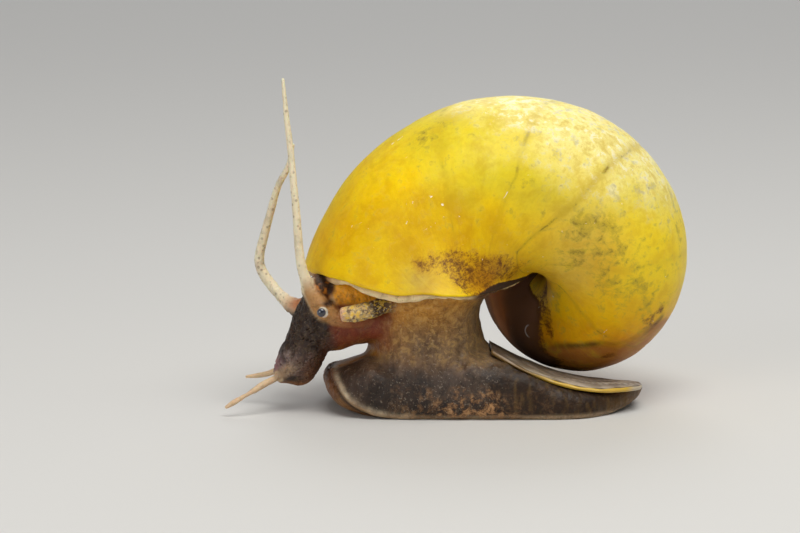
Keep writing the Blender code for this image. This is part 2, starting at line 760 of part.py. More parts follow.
def main():
    clear_scene()
    parts = new_collection("apple_snail")
    cutters = new_collection("cutters", hidden=True)
    make_shell(parts, cutters)
    make_mantle(parts, cutters)
    room = shell_room(cutters, 0.35, LIP_BAND + GAP)
    flesh = make_flesh(cutters, room)
    bed = oval_slab("bed", 1.6, -OPERCULUM_THICK - GAP, 12.0, cutters)
    keep_off = box("keep_off", (-FAR, -FAR, -10), (OPERCULUM_END - GAP, FAR, FAR), cutters)
    combine(bed, [keep_off], "DIFFERENCE")
    combine(flesh, [bed], "DIFFERENCE")
    keep_largest(flesh)
    half = GAP / 2
    regions = {
        "foot_front": ((-16.0, -FAR, -1), (FOOT_CUTS[0] - half, FAR, SOLE_TOP_CUT - half)),
        "foot_middle": ((FOOT_CUTS[0] + half, -FAR, -1), (FOOT_CUTS[1] - half, FAR, SOLE_TOP_CUT - half)),
        "foot_tail": ((FOOT_CUTS[1] + half, -FAR, -1), (FAR, FAR, SOLE_TOP_CUT + 3)),
        "stalk": ((NECK_CUTS[1] + half, -FAR, SOLE_TOP_CUT + half), (FOOT_CUTS[1] - half, FAR, FAR)),
        "neck": ((NECK_CUTS[0] + half, -FAR, SOLE_TOP_CUT + half), (NECK_CUTS[1] - half, FAR, FAR)),
        "head": ((-FAR, -FAR, SNOUT_CUT + half), (NECK_CUTS[0] - half, FAR, FAR)),
        "snout": ((-FAR, -FAR, 1), (NECK_CUTS[0] - half, FAR, SNOUT_CUT - half)),
    }
    for name, (low, high) in regions.items():
        part_of_flesh(name, flesh, low, high, parts, cutters)
    grown = grown_copy(flesh, GAP, cutters)
    make_operculum(parts, cutters)
    make_feelers(parts, grown)
    make_eyes(parts, grown)
    make_siphon(parts, grown)
    make_right_lobe(parts, cutters, [grown, room])
    make_palps(parts, grown)
    remove(flesh, grown, bed, keep_off, room)
    colour_parts(parts)


main()
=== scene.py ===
import math

import bpy
import numpy as np
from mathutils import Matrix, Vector


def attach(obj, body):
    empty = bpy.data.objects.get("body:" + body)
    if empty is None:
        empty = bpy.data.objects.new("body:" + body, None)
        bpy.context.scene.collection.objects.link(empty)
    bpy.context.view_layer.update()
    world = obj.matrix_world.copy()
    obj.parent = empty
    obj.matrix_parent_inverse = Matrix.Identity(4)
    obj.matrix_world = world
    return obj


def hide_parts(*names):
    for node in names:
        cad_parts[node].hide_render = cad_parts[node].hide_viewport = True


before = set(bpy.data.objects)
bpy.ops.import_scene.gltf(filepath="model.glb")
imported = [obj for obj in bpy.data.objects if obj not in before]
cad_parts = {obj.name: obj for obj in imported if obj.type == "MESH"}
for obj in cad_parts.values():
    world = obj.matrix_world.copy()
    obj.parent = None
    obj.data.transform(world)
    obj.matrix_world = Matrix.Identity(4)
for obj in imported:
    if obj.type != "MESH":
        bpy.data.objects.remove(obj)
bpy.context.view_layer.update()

MM = 0.001

# Shell, the same spiral tube as in the solids
WHORL_GROWTH = 2.58             # how many times larger the tube is after a turn
AXIS_AT = np.array([6.6, -7.0, 13.5])
AXIS_TURN = math.radians(19.0)  # the axis points away from the camera, turned this far to the right
AXIS_RISE = math.radians(1.7)
MOUTH_ROLL = math.radians(-2.6)
MOUTH_TILT = math.radians(2.6)
MOUTH_REACH = 11.84             # from the axis to the middle of the mouth
MOUTH_HALF_WIDTH = 11.53
MOUTH_HALF_HEIGHT = 13.57
POINT_RISE = 25.97              # from the mouth to the point, along the axis
TURNS = 3.3
LIP_BACK = 2.6 / 360            # turns that the lip is scooped back over the siphon
LIP_BACK_AT = math.radians(290)
WALL = 0.45                     # thickness of the shell at its lip
# Waves of the lip on the left side: angle and width in degrees, turns that it stands out
LIP_WAVES = [(262, 7, 0.0046), (246, 8, -0.0042), (231, 8, -0.0032)]
# Halts of growth: turn, strength
HALTS = [(-0.343, 1.0), (-0.253, 0.4), (-0.167, 0.45), (-0.47, 0.35), (-0.60, 0.8), (-0.86, 0.7)]
HALT_WIDTH = 0.0016             # turns
HALT_DEPTH = 0.06
RIPPLE_HEIGHT = 0.022
DENT_HEIGHT = 0.10
LIP_ROUGHNESS = 0.0014          # turns
# Small curved painted highlight on the wall that faces the mouth: its middle, its radius, and the X at
# which it ends
PAINTED_GLEAM_AT = (7.65, 0.3, 7.0)
PAINTED_GLEAM_RADIUS = 0.7
PAINTED_GLEAM_END = 7.7
# Dark olive line low on the shell: x, y, z
OLIVE_LINE = [
    (8.9, -0.6, 6.0), (10.6, -2.2, 5.7), (12.3, -3.2, 6.0), (14.9, -4.4, 6.4),
    (17.0, -3.8, 6.1), (19.1, -4.0, 7.3), (20.3, -3.7, 8.1), (21.3, -3.5, 9.1),
]
# Height below which the shell is a redder brown, along X: x, height
BROWN_BELOW = [(9.0, 5.8), (12.0, 6.0), (15.0, 6.3), (17.0, 6.1), (19.0, 7.2), (21.0, 8.8)]
# Spots of the shell with olive smoke, dark moss and the brown strip beside the gap: x, y, z and spread
SMOKE_SPOTS = [
    (13.4, -11.0, 19.0, 4.4), (15.0, -9.8, 15.6, 3.8), (18.8, -7.3, 11.6, 3.4), (19.0, -5.0, 21.5, 4.0),
    (12.0, -12.0, 11.0, 2.6), (20.5, -3.0, 7.5, 3.0), (0.0, -6.0, 30.0, 3.0), (-4.0, -8.0, 28.0, 3.0),
]
MOSS_SPOTS = [
    (8.8, -0.6, 10.2, 1.2), (8.5, 0.2, 9.4, 1.2),
    (-1.2, -14.9, 16.6, 2.0), (0.8, -14.8, 15.4, 2.2), (2.6, -14.0, 15.2, 1.9), (-4.2, -15.4, 16.2, 1.4),
    (1.0, -15.4, 14.2, 1.4), (4.0, -11.9, 15.4, 1.9), (5.3, -9.7, 14.9, 1.7), (7.3, -4.4, 14.0, 1.7),
    (9.3, -1.3, 12.2, 1.2), (8.9, -0.9, 9.9, 1.3), (9.3, -1.6, 8.6, 1.1), (9.7, -1.6, 7.0, 0.9),
    (15.4, -2.6, 4.8, 0.8), (16.4, -2.6, 4.8, 0.7), (19.9, -5.0, 9.0, 1.1), (21.3, -4.6, 10.2, 0.9),
    (20.9, -3.6, 8.2, 1.0),
]
STRIP_SPOTS = [
    (3.9, 4.2, 10.2, 1.3), (4.3, 3.9, 8.5, 1.2), (4.6, 3.7, 7.7, 1.2), (4.9, 4.0, 6.4, 1.1),
    (3.6, 4.4, 12.0, 1.4),
]

# Body
BODY_Y = -4.6                   # middle of the foot
HEAD_Y = -8.6                   # middle of the head, which bends towards the camera
VOXEL = 0.22                    # grid that the body's forms are fused on
SMOOTHINGS = 16                 # rounds that soften the fused forms
ROOT_SMOOTHINGS = 12            # rounds that soften the roots of the feelers

# Sections of the foot: x, half width, underside, top, middle
FOOT_SECTIONS = [
    (-14.3, 3.0, 2.5, 3.4, -3.4),
    (-13.8, 5.6, 1.6, 4.15, -3.7),
    (-12.4, 7.9, 0.6, 4.65, -4.2),
    (-9.8, 9.0, -0.3, 5.5, -4.5),
    (-6.0, 9.5, -0.8, 6.4, BODY_Y),
    (-2.0, 9.8, -0.9, 7.2, BODY_Y),
    (2.5, 9.8, -0.9, 6.3, BODY_Y),
    (6.0, 9.7, -0.9, 5.7, BODY_Y),
    (9.5, 9.5, -0.9, 4.4, BODY_Y),
    (12.5, 8.9, -0.7, 3.5, BODY_Y),
    (15.0, 7.3, -0.4, 3.1, BODY_Y),
    (17.2, 4.9, 0.2, 2.9, BODY_Y),
    (18.7, 2.4, 0.9, 2.5, BODY_Y),
    (19.2, 0.9, 1.4, 2.1, BODY_Y),
]
# Fold between the front and the side of the foot, seen from the side: x, z
FOLD = np.array([
    (-13.5, 5.6), (-13.3, 4.7), (-12.95, 3.95), (-12.5, 3.2), (-11.6, 2.1),
    (-10.2, 1.2), (-8.5, 0.65), (-6.5, 0.35), (-4.6, 0.2),
])
FOLD_RISE = 0.32
FOLD_GROOVE = 0.20
# Height of the amber edge along the top of the foot's front: x, height
AMBER_EDGE = [(-14.2, 4.2), (-13.6, 5.1), (-12.4, 5.5), (-11.0, 6.0), (-9.8, 6.6)]
# Sections of the stalk: height, front, back, left side, right side
STALK_SECTIONS = [
    (1.0, -10.0, 5.2, -13.2, 4.2),
    (4.0, -9.2, 4.4, -13.4, 3.4),
    (6.5, -8.0, 2.8, -13.5, 3.0),
    (9.0, -8.4, 2.05, -13.9, 4.2),
    (10.6, -8.6, 2.1, -14.4, 5.0),
    (11.8, -8.5, 2.6, -15.1, 6.0),
    (13.5, -8.4, 4.2, -15.9, 7.2),
    (16.0, -8.4, 4.8, -16.2, 7.6),
]
# Sections of the neck, and of the head and snout: x, y, z, half thickness, half width
NECK_SECTIONS = [
    (-4.0, -6.6, 10.2, 3.0, 6.0),
    (-8.0, -7.4, 9.8, 2.45, 5.2),
    (-11.0, -8.0, 9.5, 2.5, 4.4),
    (-13.4, HEAD_Y, 9.3, 2.9, 3.9),
    (-15.2, HEAD_Y, 9.8, 2.2, 3.2),
]
SNOUT_SECTIONS = [
    (-14.3, HEAD_Y, 12.2, 1.5, 2.4),
    (-14.6, HEAD_Y, 11.2, 2.2, 3.3),
    (-15.1, HEAD_Y, 9.4, 2.5, 3.7),
    (-15.9, HEAD_Y, 7.4, 2.3, 3.5),
    (-16.75, HEAD_Y, 5.6, 2.35, 3.1),
    (-17.35, HEAD_Y, 4.2, 2.1, 2.6),
    (-17.8, HEAD_Y, 3.2, 1.35, 1.8),
]
# Sections of the flank, which fills the hollow between the stalk and the side of the foot, as for the stalk
FLANK_SECTIONS = [
    (2.0, -10.5, 9.5, -14.5, 5.3),
    (4.5, -10.2, 5.6, -14.4, 5.1),
    (6.5, -9.6, 2.6, -14.15, 4.9),
    (8.6, -9.3, 1.7, -13.9, 4.5),
    (10.4, -9.3, 1.3, -13.5, 3.0),
]
# Front edge of the pale flap beside the dark head, seen from the side: height, x
FLAP_FRONT = [(9.5, -13.6), (10.1, -14.8), (11.2, -15.5), (12.2, -16.0), (13.3, -16.7), (14.0, -20.0)]
# Routes: x, y, z, radius
FEELERS = {
    "left": [
        (-14.4, -10.3, 10.6, 1.6),
        (-15.1, -11.2, 12.1, 1.25),
        (-15.9, -12.0, 13.9, 0.75),
        (-16.5, -12.5, 16.0, 0.5),
        (-16.85, -12.8, 19.0, 0.44),
        (-17.1, -13.0, 23.0, 0.38),
        (-17.5, -13.0, 27.0, 0.34),
        (-17.9, -13.0, 31.0, 0.29),
        (-18.3, -13.0, 35.3, 0.16),
    ],
    "right": [
        (-15.4, -5.8, 10.4, 1.5),
        (-16.8, -5.0, 10.2, 1.15),
        (-18.2, -4.0, 10.8, 0.75),
        (-19.6, -3.0, 12.1, 0.6),
        (-20.9, -2.5, 13.9, 0.56),
        (-21.2, -2.5, 15.4, 0.52),
        (-20.7, -3.0, 17.7, 0.46),
        (-20.0, -4.0, 20.4, 0.41),
        (-19.1, -5.5, 23.3, 0.35),
        (-18.0, -7.0, 25.6, 0.29),
        (-17.4, -8.0, 28.0, 0.16),
    ],
}
PALPS = {
    "left": [
        (-17.4, -9.0, 4.4, 0.5),
        (-18.8, -9.8, 3.9, 0.38),
        (-20.2, -10.8, 3.3, 0.33),
        (-21.6, -11.7, 2.6, 0.28),
        (-22.9, -12.3, 1.9, 0.25),
        (-24.4, -12.5, 1.0, 0.14),
    ],
    "right": [
        (-17.4, -7.0, 4.6, 0.5),
        (-19.0, -5.9, 3.9, 0.36),
        (-20.3, -5.0, 3.3, 0.3),
        (-21.4, -4.4, 3.0, 0.26),
        (-22.6, -4.0, 2.8, 0.14),
    ],
}
SIPHON = [
    (-6.0, -12.0, 12.3, 0.75),
    (-7.9, -13.3, 11.85, 0.86),
    (-9.6, -13.9, 11.4, 0.92),
    (-11.0, -14.0, 11.15, 0.88),
    (-12.1, -14.0, 11.0, 0.76),
]
# The end of the siphon, which rounds over into its opening: share of its radius, how far out
SIPHON_RIM = [
    (0.96, 0.12), (0.88, 0.24), (0.75, 0.33), (0.60, 0.36), (0.46, 0.33), (0.36, 0.22), (0.30, 0.0),
    (0.26, -0.5),
]
# The pale flap that runs from the left feeler's base, under the eye, to the siphon
FLAP = [
    (-15.9, -11.9, 14.2, 0.5),
    (-15.3, -12.0, 12.8, 0.8),
    (-14.4, -12.2, 11.5, 1.0),
    (-12.9, -12.4, 10.5, 0.85),
    (-11.2, -12.4, 10.1, 0.6),
    (-9.6, -12.2, 10.1, 0.4),
]
# Eye stalk and eye, where y is measured outwards from the head's middle
EYE_STALK = [
    (-13.5, 2.2, 10.7, 1.1),
    (-13.8, 3.4, 10.9, 0.95),
    (-14.1, 4.4, 11.05, 0.8),
    (-14.3, 5.0, 11.15, 0.72),
]
EYE_AT = (-14.42, 5.42, 11.2)
EYE_HALF = (0.46, 0.32, 0.46)
# Rings of skin round each eye, by distance from its middle: where they end, where they are full
EYE_PALE_RING = (0.88, 0.72)
EYE_GREY_RING = (0.52, 0.46)
RIGHT_LOBE_MIDDLE = (-11.8, -2.9, 11.6)
RIGHT_LOBE_HALF = (4.0, 1.4, 3.0)
# Pale streak down the side of the snout to the left lip feeler: x, y, z
SNOUT_STREAK = [(-16.6, -11.6, 5.7), (-17.8, -11.0, 4.8), (-19.0, -10.4, 4.0)]
# Amber wall of the mantle's hollow, behind the siphon, and its dark corner by the left feeler:
# middle, half size
MEMBRANE = ((-11.3, -9.4, 12.4), (4.4, 2.6, 2.6))
MEMBRANE_CORNER = ((-14.7, -10.6, 13.3), (1.3, 1.5, 1.5))
# Hollow in the mantle's roof, seen from above
CAVITY_MIDDLE = np.array([-11.6, -4.6])
CAVITY_HALF = np.array([3.4, 9.2])
CAVITY_DEPTH = 3.3
# How full the rolled edge of the mantle is round the mouth: degrees, share
ROLL_FULLNESS = [
    (0, 0.7), (40, 0.6), (120, 0.6), (190, 0.3), (212, 0.32),
    (240, 0.5), (252, 1.2), (330, 1.1), (360, 0.7),
]
# Where the skin is evened out round the roots of the feelers and the siphon: x, y, z, reach
SOFT_ROOTS = [
    (-16.1, -12.15, 14.6, 1.3), (-18.9, -3.5, 11.4, 1.4), (-18.5, -9.6, 4.0, 0.9), (-18.7, -6.1, 4.0, 0.9),
    (-7.4, -13.0, 12.0, 1.5),
]
FLESH_NODES = [
    "mantle", "foot_front", "foot_middle", "foot_tail", "stalk", "neck", "nuchal_lobe_right", "head",
    "snout", "tentacle_left_base", "tentacle_left_mid", "tentacle_left_tip",
    "tentacle_right_base", "tentacle_right_mid", "tentacle_right_tip",
    "palp_left", "palp_right", "eyestalk_left", "eyestalk_right", "siphon",
]

# Lid
OPERCULUM_MIDDLE = (9.1, -6.6)
OPERCULUM_HALF = (10.1, 6.8)
OPERCULUM_THICK = 0.5
OPERCULUM_LOW = 3.0             # height of its upper face on the tail
OPERCULUM_FLAT_FROM = 16.2      # X from which it curves up towards the stalk
OPERCULUM_CURVE = 0.0243
OPERCULUM_FALL = 0.07           # fall for each millimetre from its left edge
OPERCULUM_END = 3.2             # X at which the stalk cuts it off
LID_RINGS = 95.0                # how closely its rings of growth follow each other

# Camera of the photograph: what it looks at, how steeply down, from how far, and the width it sees there
VIEW_AT = Vector((-6.3, -9.0, 15.3))
VIEW_DOWN = math.radians(8.0)
VIEW_FROM = 420.0
VIEW_WIDTH = 83.5

# Soft lamps, in metres: name, place, width, power, colour
LAMPS_AIM = (0.0, -0.005, 0.015)
LAMPS = [
    ("key", (0.12, -0.20, 0.50), 0.40, 2.7, (1.0, 0.985, 0.95)),
    ("fill", (-0.40, -0.50, 0.16), 0.40, 1.25, (1.0, 1.0, 1.0)),
    ("back", (0.10, 1.30, 0.90), 0.80, 6.0, (1.0, 1.0, 1.0)),
]
FLOOR_REACH = 3000.0
SKY_COLOUR = (0.92, 0.94, 0.96, 1.0)
SKY_STRENGTH = 0.22

# Large odd numbers that scatter the corners of the noise's lattice, and the bits that are kept
SCATTER = (374761393, 668265263, 1440662683, 1274126177)
KEPT_BITS = 0xFFFFFFFF
# Faces of a box whose corner number has one bit for each axis, set where the corner is high
BOX_FACES = [[0, 1, 3, 2], [4, 6, 7, 5], [0, 4, 5, 1], [2, 3, 7, 6], [0, 2, 6, 4], [1, 5, 7, 3]]


def tint(red, green, blue):
    """A colour as a screen shows it, from 0 to 255, turned into the linear one that materials take."""
    value = np.array([red, green, blue]) / 255
    linear = np.where(value <= 0.04045, value / 12.92, ((value + 0.055) / 1.055) ** 2.4)
    return np.append(linear, 1.0)


def angles(count):
    """Angles evenly spaced round a circle."""
    return np.arange(count) * 2 * math.pi / count


def signed_power(value, power):
    """Raises the size of a value to a power and keeps its sign."""
    return np.sign(value) * np.abs(value) ** power


def step(value, low, high):
    """0 below low, 1 above high and a smooth S between; high may be the smaller."""
    share = np.clip((value - low) / (high - low), 0, 1)
    return share * share * (3 - 2 * share)


def between(value, low, full, ending, end):
    """0 below low, 1 from full to ending and 0 again past end."""
    return step(value, low, full) * step(value, end, ending)


def read_off(value, table):
    """Reads a value off a table of pairs, with straight lines between them."""
    return np.interp(value, *np.array(table, float).T)


def bump_at(value, middle, width):
    """A bell of height 1 about a middle."""
    return np.exp(-((value - middle) / width) ** 2)


def unit(vectors):
    """The vectors, each made one long."""
    return vectors / np.maximum(np.linalg.norm(vectors, axis=-1, keepdims=True), 1e-12)


def smooth_rows(rows, per_span):
    """Passes a cubic curve through rows of numbers, with per_span places from each row to the next."""
    rows = np.asarray(rows, float)
    padded = np.vstack([2 * rows[0] - rows[1], rows, 2 * rows[-1] - rows[-2]])
    before, start, end, after = (padded[k:len(padded) - 3 + k, None] for k in range(4))
    share = (np.arange(per_span) / per_span)[None, :, None]
    curve = 0.5 * (
        2 * start
        + (end - before) * share
        + (2 * before - 5 * start + 4 * end - after) * share ** 2
        + (3 * start - before - 3 * end + after) * share ** 3
    )
    return np.vstack([curve.reshape(-1, rows.shape[1]), rows[-1]])


def lattice(x, y, z, seed):
    """A number from -1 to 1 for each corner of a cubic lattice, the same on every run."""
    mixed = sum(number * scale for number, scale in zip((x, y, z, seed), SCATTER)) & KEPT_BITS
    mixed = ((mixed ^ (mixed >> 13)) * SCATTER[3]) & KEPT_BITS
    return ((mixed ^ (mixed >> 16)) & 0xFFFF) / 32767.5 - 1.0


def noise(points, cell, seed=0, octaves=1):
    """Value noise: lattice numbers blended over cells of a size, each finer layer half as strong."""
    total = np.zeros(points.shape[:-1])
    weight = 1.0
    for octave in range(octaves):
        place = points / cell * 2 ** octave
        low = np.floor(place).astype(np.int64)
        share = place - low
        share = share * share * (3 - 2 * share)
        value = 0.0
        for corner in range(8):
            bits = [(corner >> k) & 1 for k in range(3)]
            part = [share[..., k] if bits[k] else 1 - share[..., k] for k in range(3)]
            corners = [low[..., k] + bits[k] for k in range(3)]
            value = value + part[0] * part[1] * part[2] * lattice(*corners, seed + octave)
        total += weight * value
        weight *= 0.5
    return total


def line_distance(points, route):
    """Distance from each point to a smooth line through the route, and the share of it where that is."""
    line = smooth_rows(route, 6)
    best = np.full(len(points), np.inf)
    share = np.zeros(len(points))
    for index in range(len(line) - 1):
        start, run = line[index], line[index + 1] - line[index]
        along = np.clip((points - start) @ run / (run @ run), 0, 1)
        gap = np.linalg.norm(points - start - along[:, None] * run, axis=1)
        nearer = gap < best
        best = np.where(nearer, gap, best)
        share = np.where(nearer, (index + along) / (len(line) - 1), share)
    return best, share


def place_in_scene(name, data):
    """A new object in the scene, at the origin and unturned."""
    obj = bpy.data.objects.new(name, data)
    bpy.context.scene.collection.objects.link(obj)
    return obj


def make_object(name, points, faces):
    """An object from points in millimetres and faces, turned outwards by the sign of the volume inside."""
    triangles = [(face[0], face[k], face[k + 1]) for face in faces for k in range(1, len(face) - 1)]
    corners = np.asarray(points)[np.array(triangles)]
    volume = np.einsum("ij,ij->i", corners[:, 0], np.cross(corners[:, 1], corners[:, 2])).sum()
    if volume < 0:
        faces = [face[::-1] for face in faces]
    mesh = bpy.data.meshes.new(name)
    mesh.from_pydata((np.asarray(points) * MM).tolist(), [], faces)
    mesh.shade_smooth()
    return place_in_scene(name, mesh)


def ring_faces(rows, around):
    """Quads between neighbouring rings, each ring closed on itself, and a fan at each end."""
    row, place = np.meshgrid(np.arange(rows - 1), np.arange(around), indexing="ij")
    after = (place + 1) % around
    low, high = row * around, (row + 1) * around
    quads = np.stack([low + place, low + after, high + after, high + place], -1).reshape(-1, 4)
    place, after = place[0], after[0]
    last = (rows - 1) * around
    first_fan = np.stack([after, place, np.full(around, rows * around)], -1)
    last_fan = np.stack([last + place, last + after, np.full(around, rows * around + 1)], -1)
    return quads.tolist() + first_fan.tolist() + last_fan.tolist()


def ring_object(name, rings, pushes=(0.0, 0.0)):
    """Closes a stack of rings with a fan at each end, whose middle may be pushed out."""
    ends = []
    for ring, inner, push in ((rings[0], rings[1], pushes[0]), (rings[-1], rings[-2], pushes[1])):
        way = ring.mean(axis=0) - inner.mean(axis=0)
        ends.append(ring.mean(axis=0) + push * unit(way))
    points = np.vstack([rings.reshape(-1, 3), ends])
    return make_object(name, points, ring_faces(*rings.shape[:2]))


def settle(obj):
    """Replaces the object's mesh by the one that its modifiers make."""
    graph = bpy.context.evaluated_depsgraph_get()
    graph.update()
    mesh = bpy.data.meshes.new_from_object(obj.evaluated_get(graph))
    obj.modifiers.clear()
    obj.data = mesh
    return obj


def combine(obj, others, operation):
    """Joins or cuts a closed mesh with others, and removes them."""
    for other in others:
        modifier = obj.modifiers.new(operation.lower(), "BOOLEAN")
        modifier.operation = operation
        modifier.solver = "MANIFOLD"
        modifier.object = other
        settle(obj)
        bpy.data.objects.remove(other, do_unlink=True)
    return obj


def per_point(obj, name):
    """Three numbers for each of the object's points."""
    found = np.empty(len(obj.data.vertices) * 3, np.float32)
    obj.data.vertices.foreach_get(name, found)
    return found.reshape(-1, 3).astype(float)


def places(obj):
    """The object's points in millimetres."""
    return per_point(obj, "co") / MM


def outward(obj):
    """The direction in which each point's surface faces."""
    return per_point(obj, "normal")


def move_to(obj, points):
    """Puts the object's points at new places in millimetres."""
    obj.data.vertices.foreach_set("co", (points * MM).astype(np.float32).ravel())
    obj.data.update()


def note_number(obj, name, values):
    """Keeps one number for each point, for the material to read."""
    kept = obj.data.attributes.new(name, "FLOAT", "POINT")
    kept.data.foreach_set("value", np.asarray(values, np.float32).ravel())


def note_rings(obj, levels):
    """Keeps numbers given on the rings of a ring object; each end's middle takes its ring's mean."""
    for name, values in levels.items():
        note_number(obj, name, np.append(values.ravel(), [values[0].mean(), values[-1].mean()]))


class Coat:
    """A colour and some levels at each point of a piece, laid on in turn for its material to read."""

    def __init__(self, obj, ground, rough, **levels):
        self.obj = obj
        self.points = places(obj)
        self.x, self.y, self.z = self.points.T
        self.rough = noise(self.points, *rough)
        self.colour = np.tile(tint(*ground), (len(self.points), 1))
        self.levels = {name: np.full(len(self.points), level) for name, level in levels.items()}

    def parts(self):
        """X, Y and Z of each point, the noise that makes edges ragged, and the method that lays colour."""
        return self.x, self.y, self.z, self.rough, self.lay

    def lay(self, mask, shade=None, **levels):
        """Mixes in a colour by a mask from 0 to 1, and brings the named levels to theirs."""
        mask = np.clip(mask, 0, 1)
        if shade is not None:
            self.colour = self.colour + mask[:, None] * (tint(*shade) - self.colour)
        for name, level in levels.items():
            self.levels[name] = self.levels[name] + mask * (level - self.levels[name])

    def along(self, route):
        """Distance from each point to a route, the share of it where that is, and its radius there."""
        route = np.array(route)
        away, share = line_distance(self.points, route[:, :3])
        return away, share, np.interp(share, np.linspace(0, 1, len(route)), route[:, 3])

    def keep(self, name):
        """Keeps the colour, under a name, and the levels on the piece."""
        kept = self.obj.data.attributes.new(name, "FLOAT_COLOR", "POINT")
        kept.data.foreach_set("color", self.colour.astype(np.float32).ravel())
        for level_name, values in self.levels.items():
            note_number(self.obj, level_name, values)


# Shell


def axis_frame():
    """Returns the outer-lip, growth and point directions of the shell."""
    point = np.array([
        math.sin(AXIS_TURN) * math.cos(AXIS_RISE),
        math.cos(AXIS_TURN) * math.cos(AXIS_RISE),
        math.sin(AXIS_RISE),
    ])
    lip = np.array([-1.0, 0.0, 0.0])
    lip = unit(lip - point * lip.dot(point))
    growth = -np.cross(lip, point)
    if np.cross(lip, growth).dot(point) > 0:
        growth = -growth
    return (
        lip * math.cos(MOUTH_ROLL) + growth * math.sin(MOUTH_ROLL),
        growth * math.cos(MOUTH_ROLL) - lip * math.sin(MOUTH_ROLL),
        point,
    )


OUTER_LIP, GROWTH_WAY, POINT_WAY = axis_frame()


def whorl(turn, u, swell=0.0):
    """Points of the shell's tube at turns and angles u, which run from the outer lip towards the point.

    The section is an oval, squarer towards the navel and a little towards the suture. It grows by
    WHORL_GROWTH each turn, while its middle circles the axis and slides along it. swell widens it.
    """
    navel = np.clip(np.cos(u - math.radians(225)), 0, 1) ** 1.5
    suture = np.clip(np.cos(u - math.radians(50)), 0, 1) ** 2
    power = 1 - 0.4 * navel - 0.15 * suture
    scale = WHORL_GROWTH ** turn
    out = signed_power(np.cos(u), power) * (MOUTH_HALF_WIDTH * scale + swell)
    along = signed_power(np.sin(u), power) * (MOUTH_HALF_HEIGHT * scale + swell)
    radius = MOUTH_REACH * scale + out * math.cos(MOUTH_TILT) - along * math.sin(MOUTH_TILT)
    height = POINT_RISE * (1 - scale) + out * math.sin(MOUTH_TILT) + along * math.cos(MOUTH_TILT)
    angle = 2 * math.pi * turn
    return (
        AXIS_AT
        + (radius * np.cos(angle))[..., None] * OUTER_LIP
        + (radius * np.sin(angle))[..., None] * GROWTH_WAY
        + height[..., None] * POINT_WAY
    )


def lip_turn(u):
    """Turn at which the lip ends: scooped back over the siphon, and a little wavy."""
    scoop = LIP_BACK * np.clip(np.cos(u - LIP_BACK_AT), 0, 1) ** 8
    circle = np.stack([np.cos(u), np.sin(u), 0 * u], -1)
    waves = sum(turns * bump_at(np.degrees(u), at, width) for at, width, turns in LIP_WAVES)
    return -scoop + waves + LIP_ROUGHNESS * noise(circle, 0.2, 5, 2)


def whorl_outward(turn, u):
    """Direction square to the tube, from its slopes along and around it."""
    small = 1e-4
    around = whorl(turn, u + small) - whorl(turn, u - small)
    along = whorl(turn + small, u) - whorl(turn - small, u)
    across = unit(np.cross(around, along))
    out_of_tube = whorl(turn, u, 0.1) - whorl(turn, u)
    return across * np.sign((across * out_of_tube).sum(-1, keepdims=True))


def make_shell():
    """The coiled shell as one closed wall: out along the tube to the lip, round it and back inside.

    Ripples along the growth lines, halts of growth and shallow dents move the outer face by tenths.
    """
    u = angles(192)[None, :]
    turns = np.concatenate([np.linspace(-TURNS, -1.25, 120), np.linspace(-1.25, 0, 322)[1:]])[:, None]
    near_lip = step(turns, -0.06, 0.0)
    turn = turns + near_lip * lip_turn(u)
    points = whorl(turn, u + 0 * turn)
    growth = turn - growth_sweep(u + 0 * turn)
    circle = np.stack([growth * 40, 1.2 * np.cos(u) + 0 * growth, 1.2 * np.sin(u) + 0 * growth], -1)
    ripple = RIPPLE_HEIGHT * noise(circle, 1.0, 11, 3)
    halts = sum(depth * bump_at(growth, at, HALT_WIDTH) for at, depth in HALTS)
    dents = DENT_HEIGHT * noise(points, 5.5, 21, 3)
    size = np.clip(WHORL_GROWTH ** turn * 1.6, 0, 1)
    relief = size * (1 - 0.7 * near_lip) * (ripple + dents - HALT_DEPTH * halts)
    points = points + relief[..., None] * whorl_outward(turn, u + 0 * turn)
    bend = np.linspace(0, math.pi, 9)[1:, None]
    rim_swell = -WALL / 2 * (1 - np.cos(bend))
    rim = whorl(lip_turn(u) + 0 * bend, u + 0 * bend, rim_swell)
    rim = rim + (0.18 * np.sin(bend))[..., None] * GROWTH_WAY
    back = np.linspace(0, -0.07, 15)[1:, None]
    inner = whorl(back + lip_turn(u), u + 0 * back, -WALL)
    rings = np.concatenate([points, rim, inner])
    shell = ring_object("shell_wall", rings, (0.5, 0.0))
    kept = np.concatenate([growth, 0 * bend + growth[-1:], 0 * back + growth[-1:]])
    circle_u = np.broadcast_to(u, rings.shape[:2])
    inside = np.concatenate([0 * growth, step(bend, 0.5, 2.0) + 0 * u, 1 + 0 * back + 0 * u])
    full_turn = np.concatenate([turn, 0 * bend + turn[-1:], 0 * back + turn[-1:]])
    # Dark stain and painted shade round the navel and on the wall facing the mouth; the wall's share is
    # kept apart.
    stain_and_shade, facing = navel_stain_and_shade(full_turn, circle_u)
    facing = facing * (1 - 0.85 * step(rings[..., 2], 4.8, 3.4) * step(rings[..., 0], 8.5, 11.5))
    stain_and_shade = np.where(facing > 0, np.minimum(stain_and_shade, facing + 0.12), stain_and_shade)
    note_rings(shell, {
        "growth": kept,
        "around_c": np.cos(circle_u),
        "around_s": np.sin(circle_u),
        "inside": inside,
        "navel": stain_and_shade,
        "facing": facing,
    })
    paint_shell(shell, np.append(flesh_behind(full_turn, circle_u).ravel(), [0, 0]))
    return shell


def zone(points, *spots):
    """1 near any of the spots, each a place and a spread, fading out around it."""
    total = sum(np.exp(-((points - spot[:3]) ** 2).sum(-1) / spot[3] ** 2) for spot in np.array(spots))
    return np.clip(total, 0, 1)


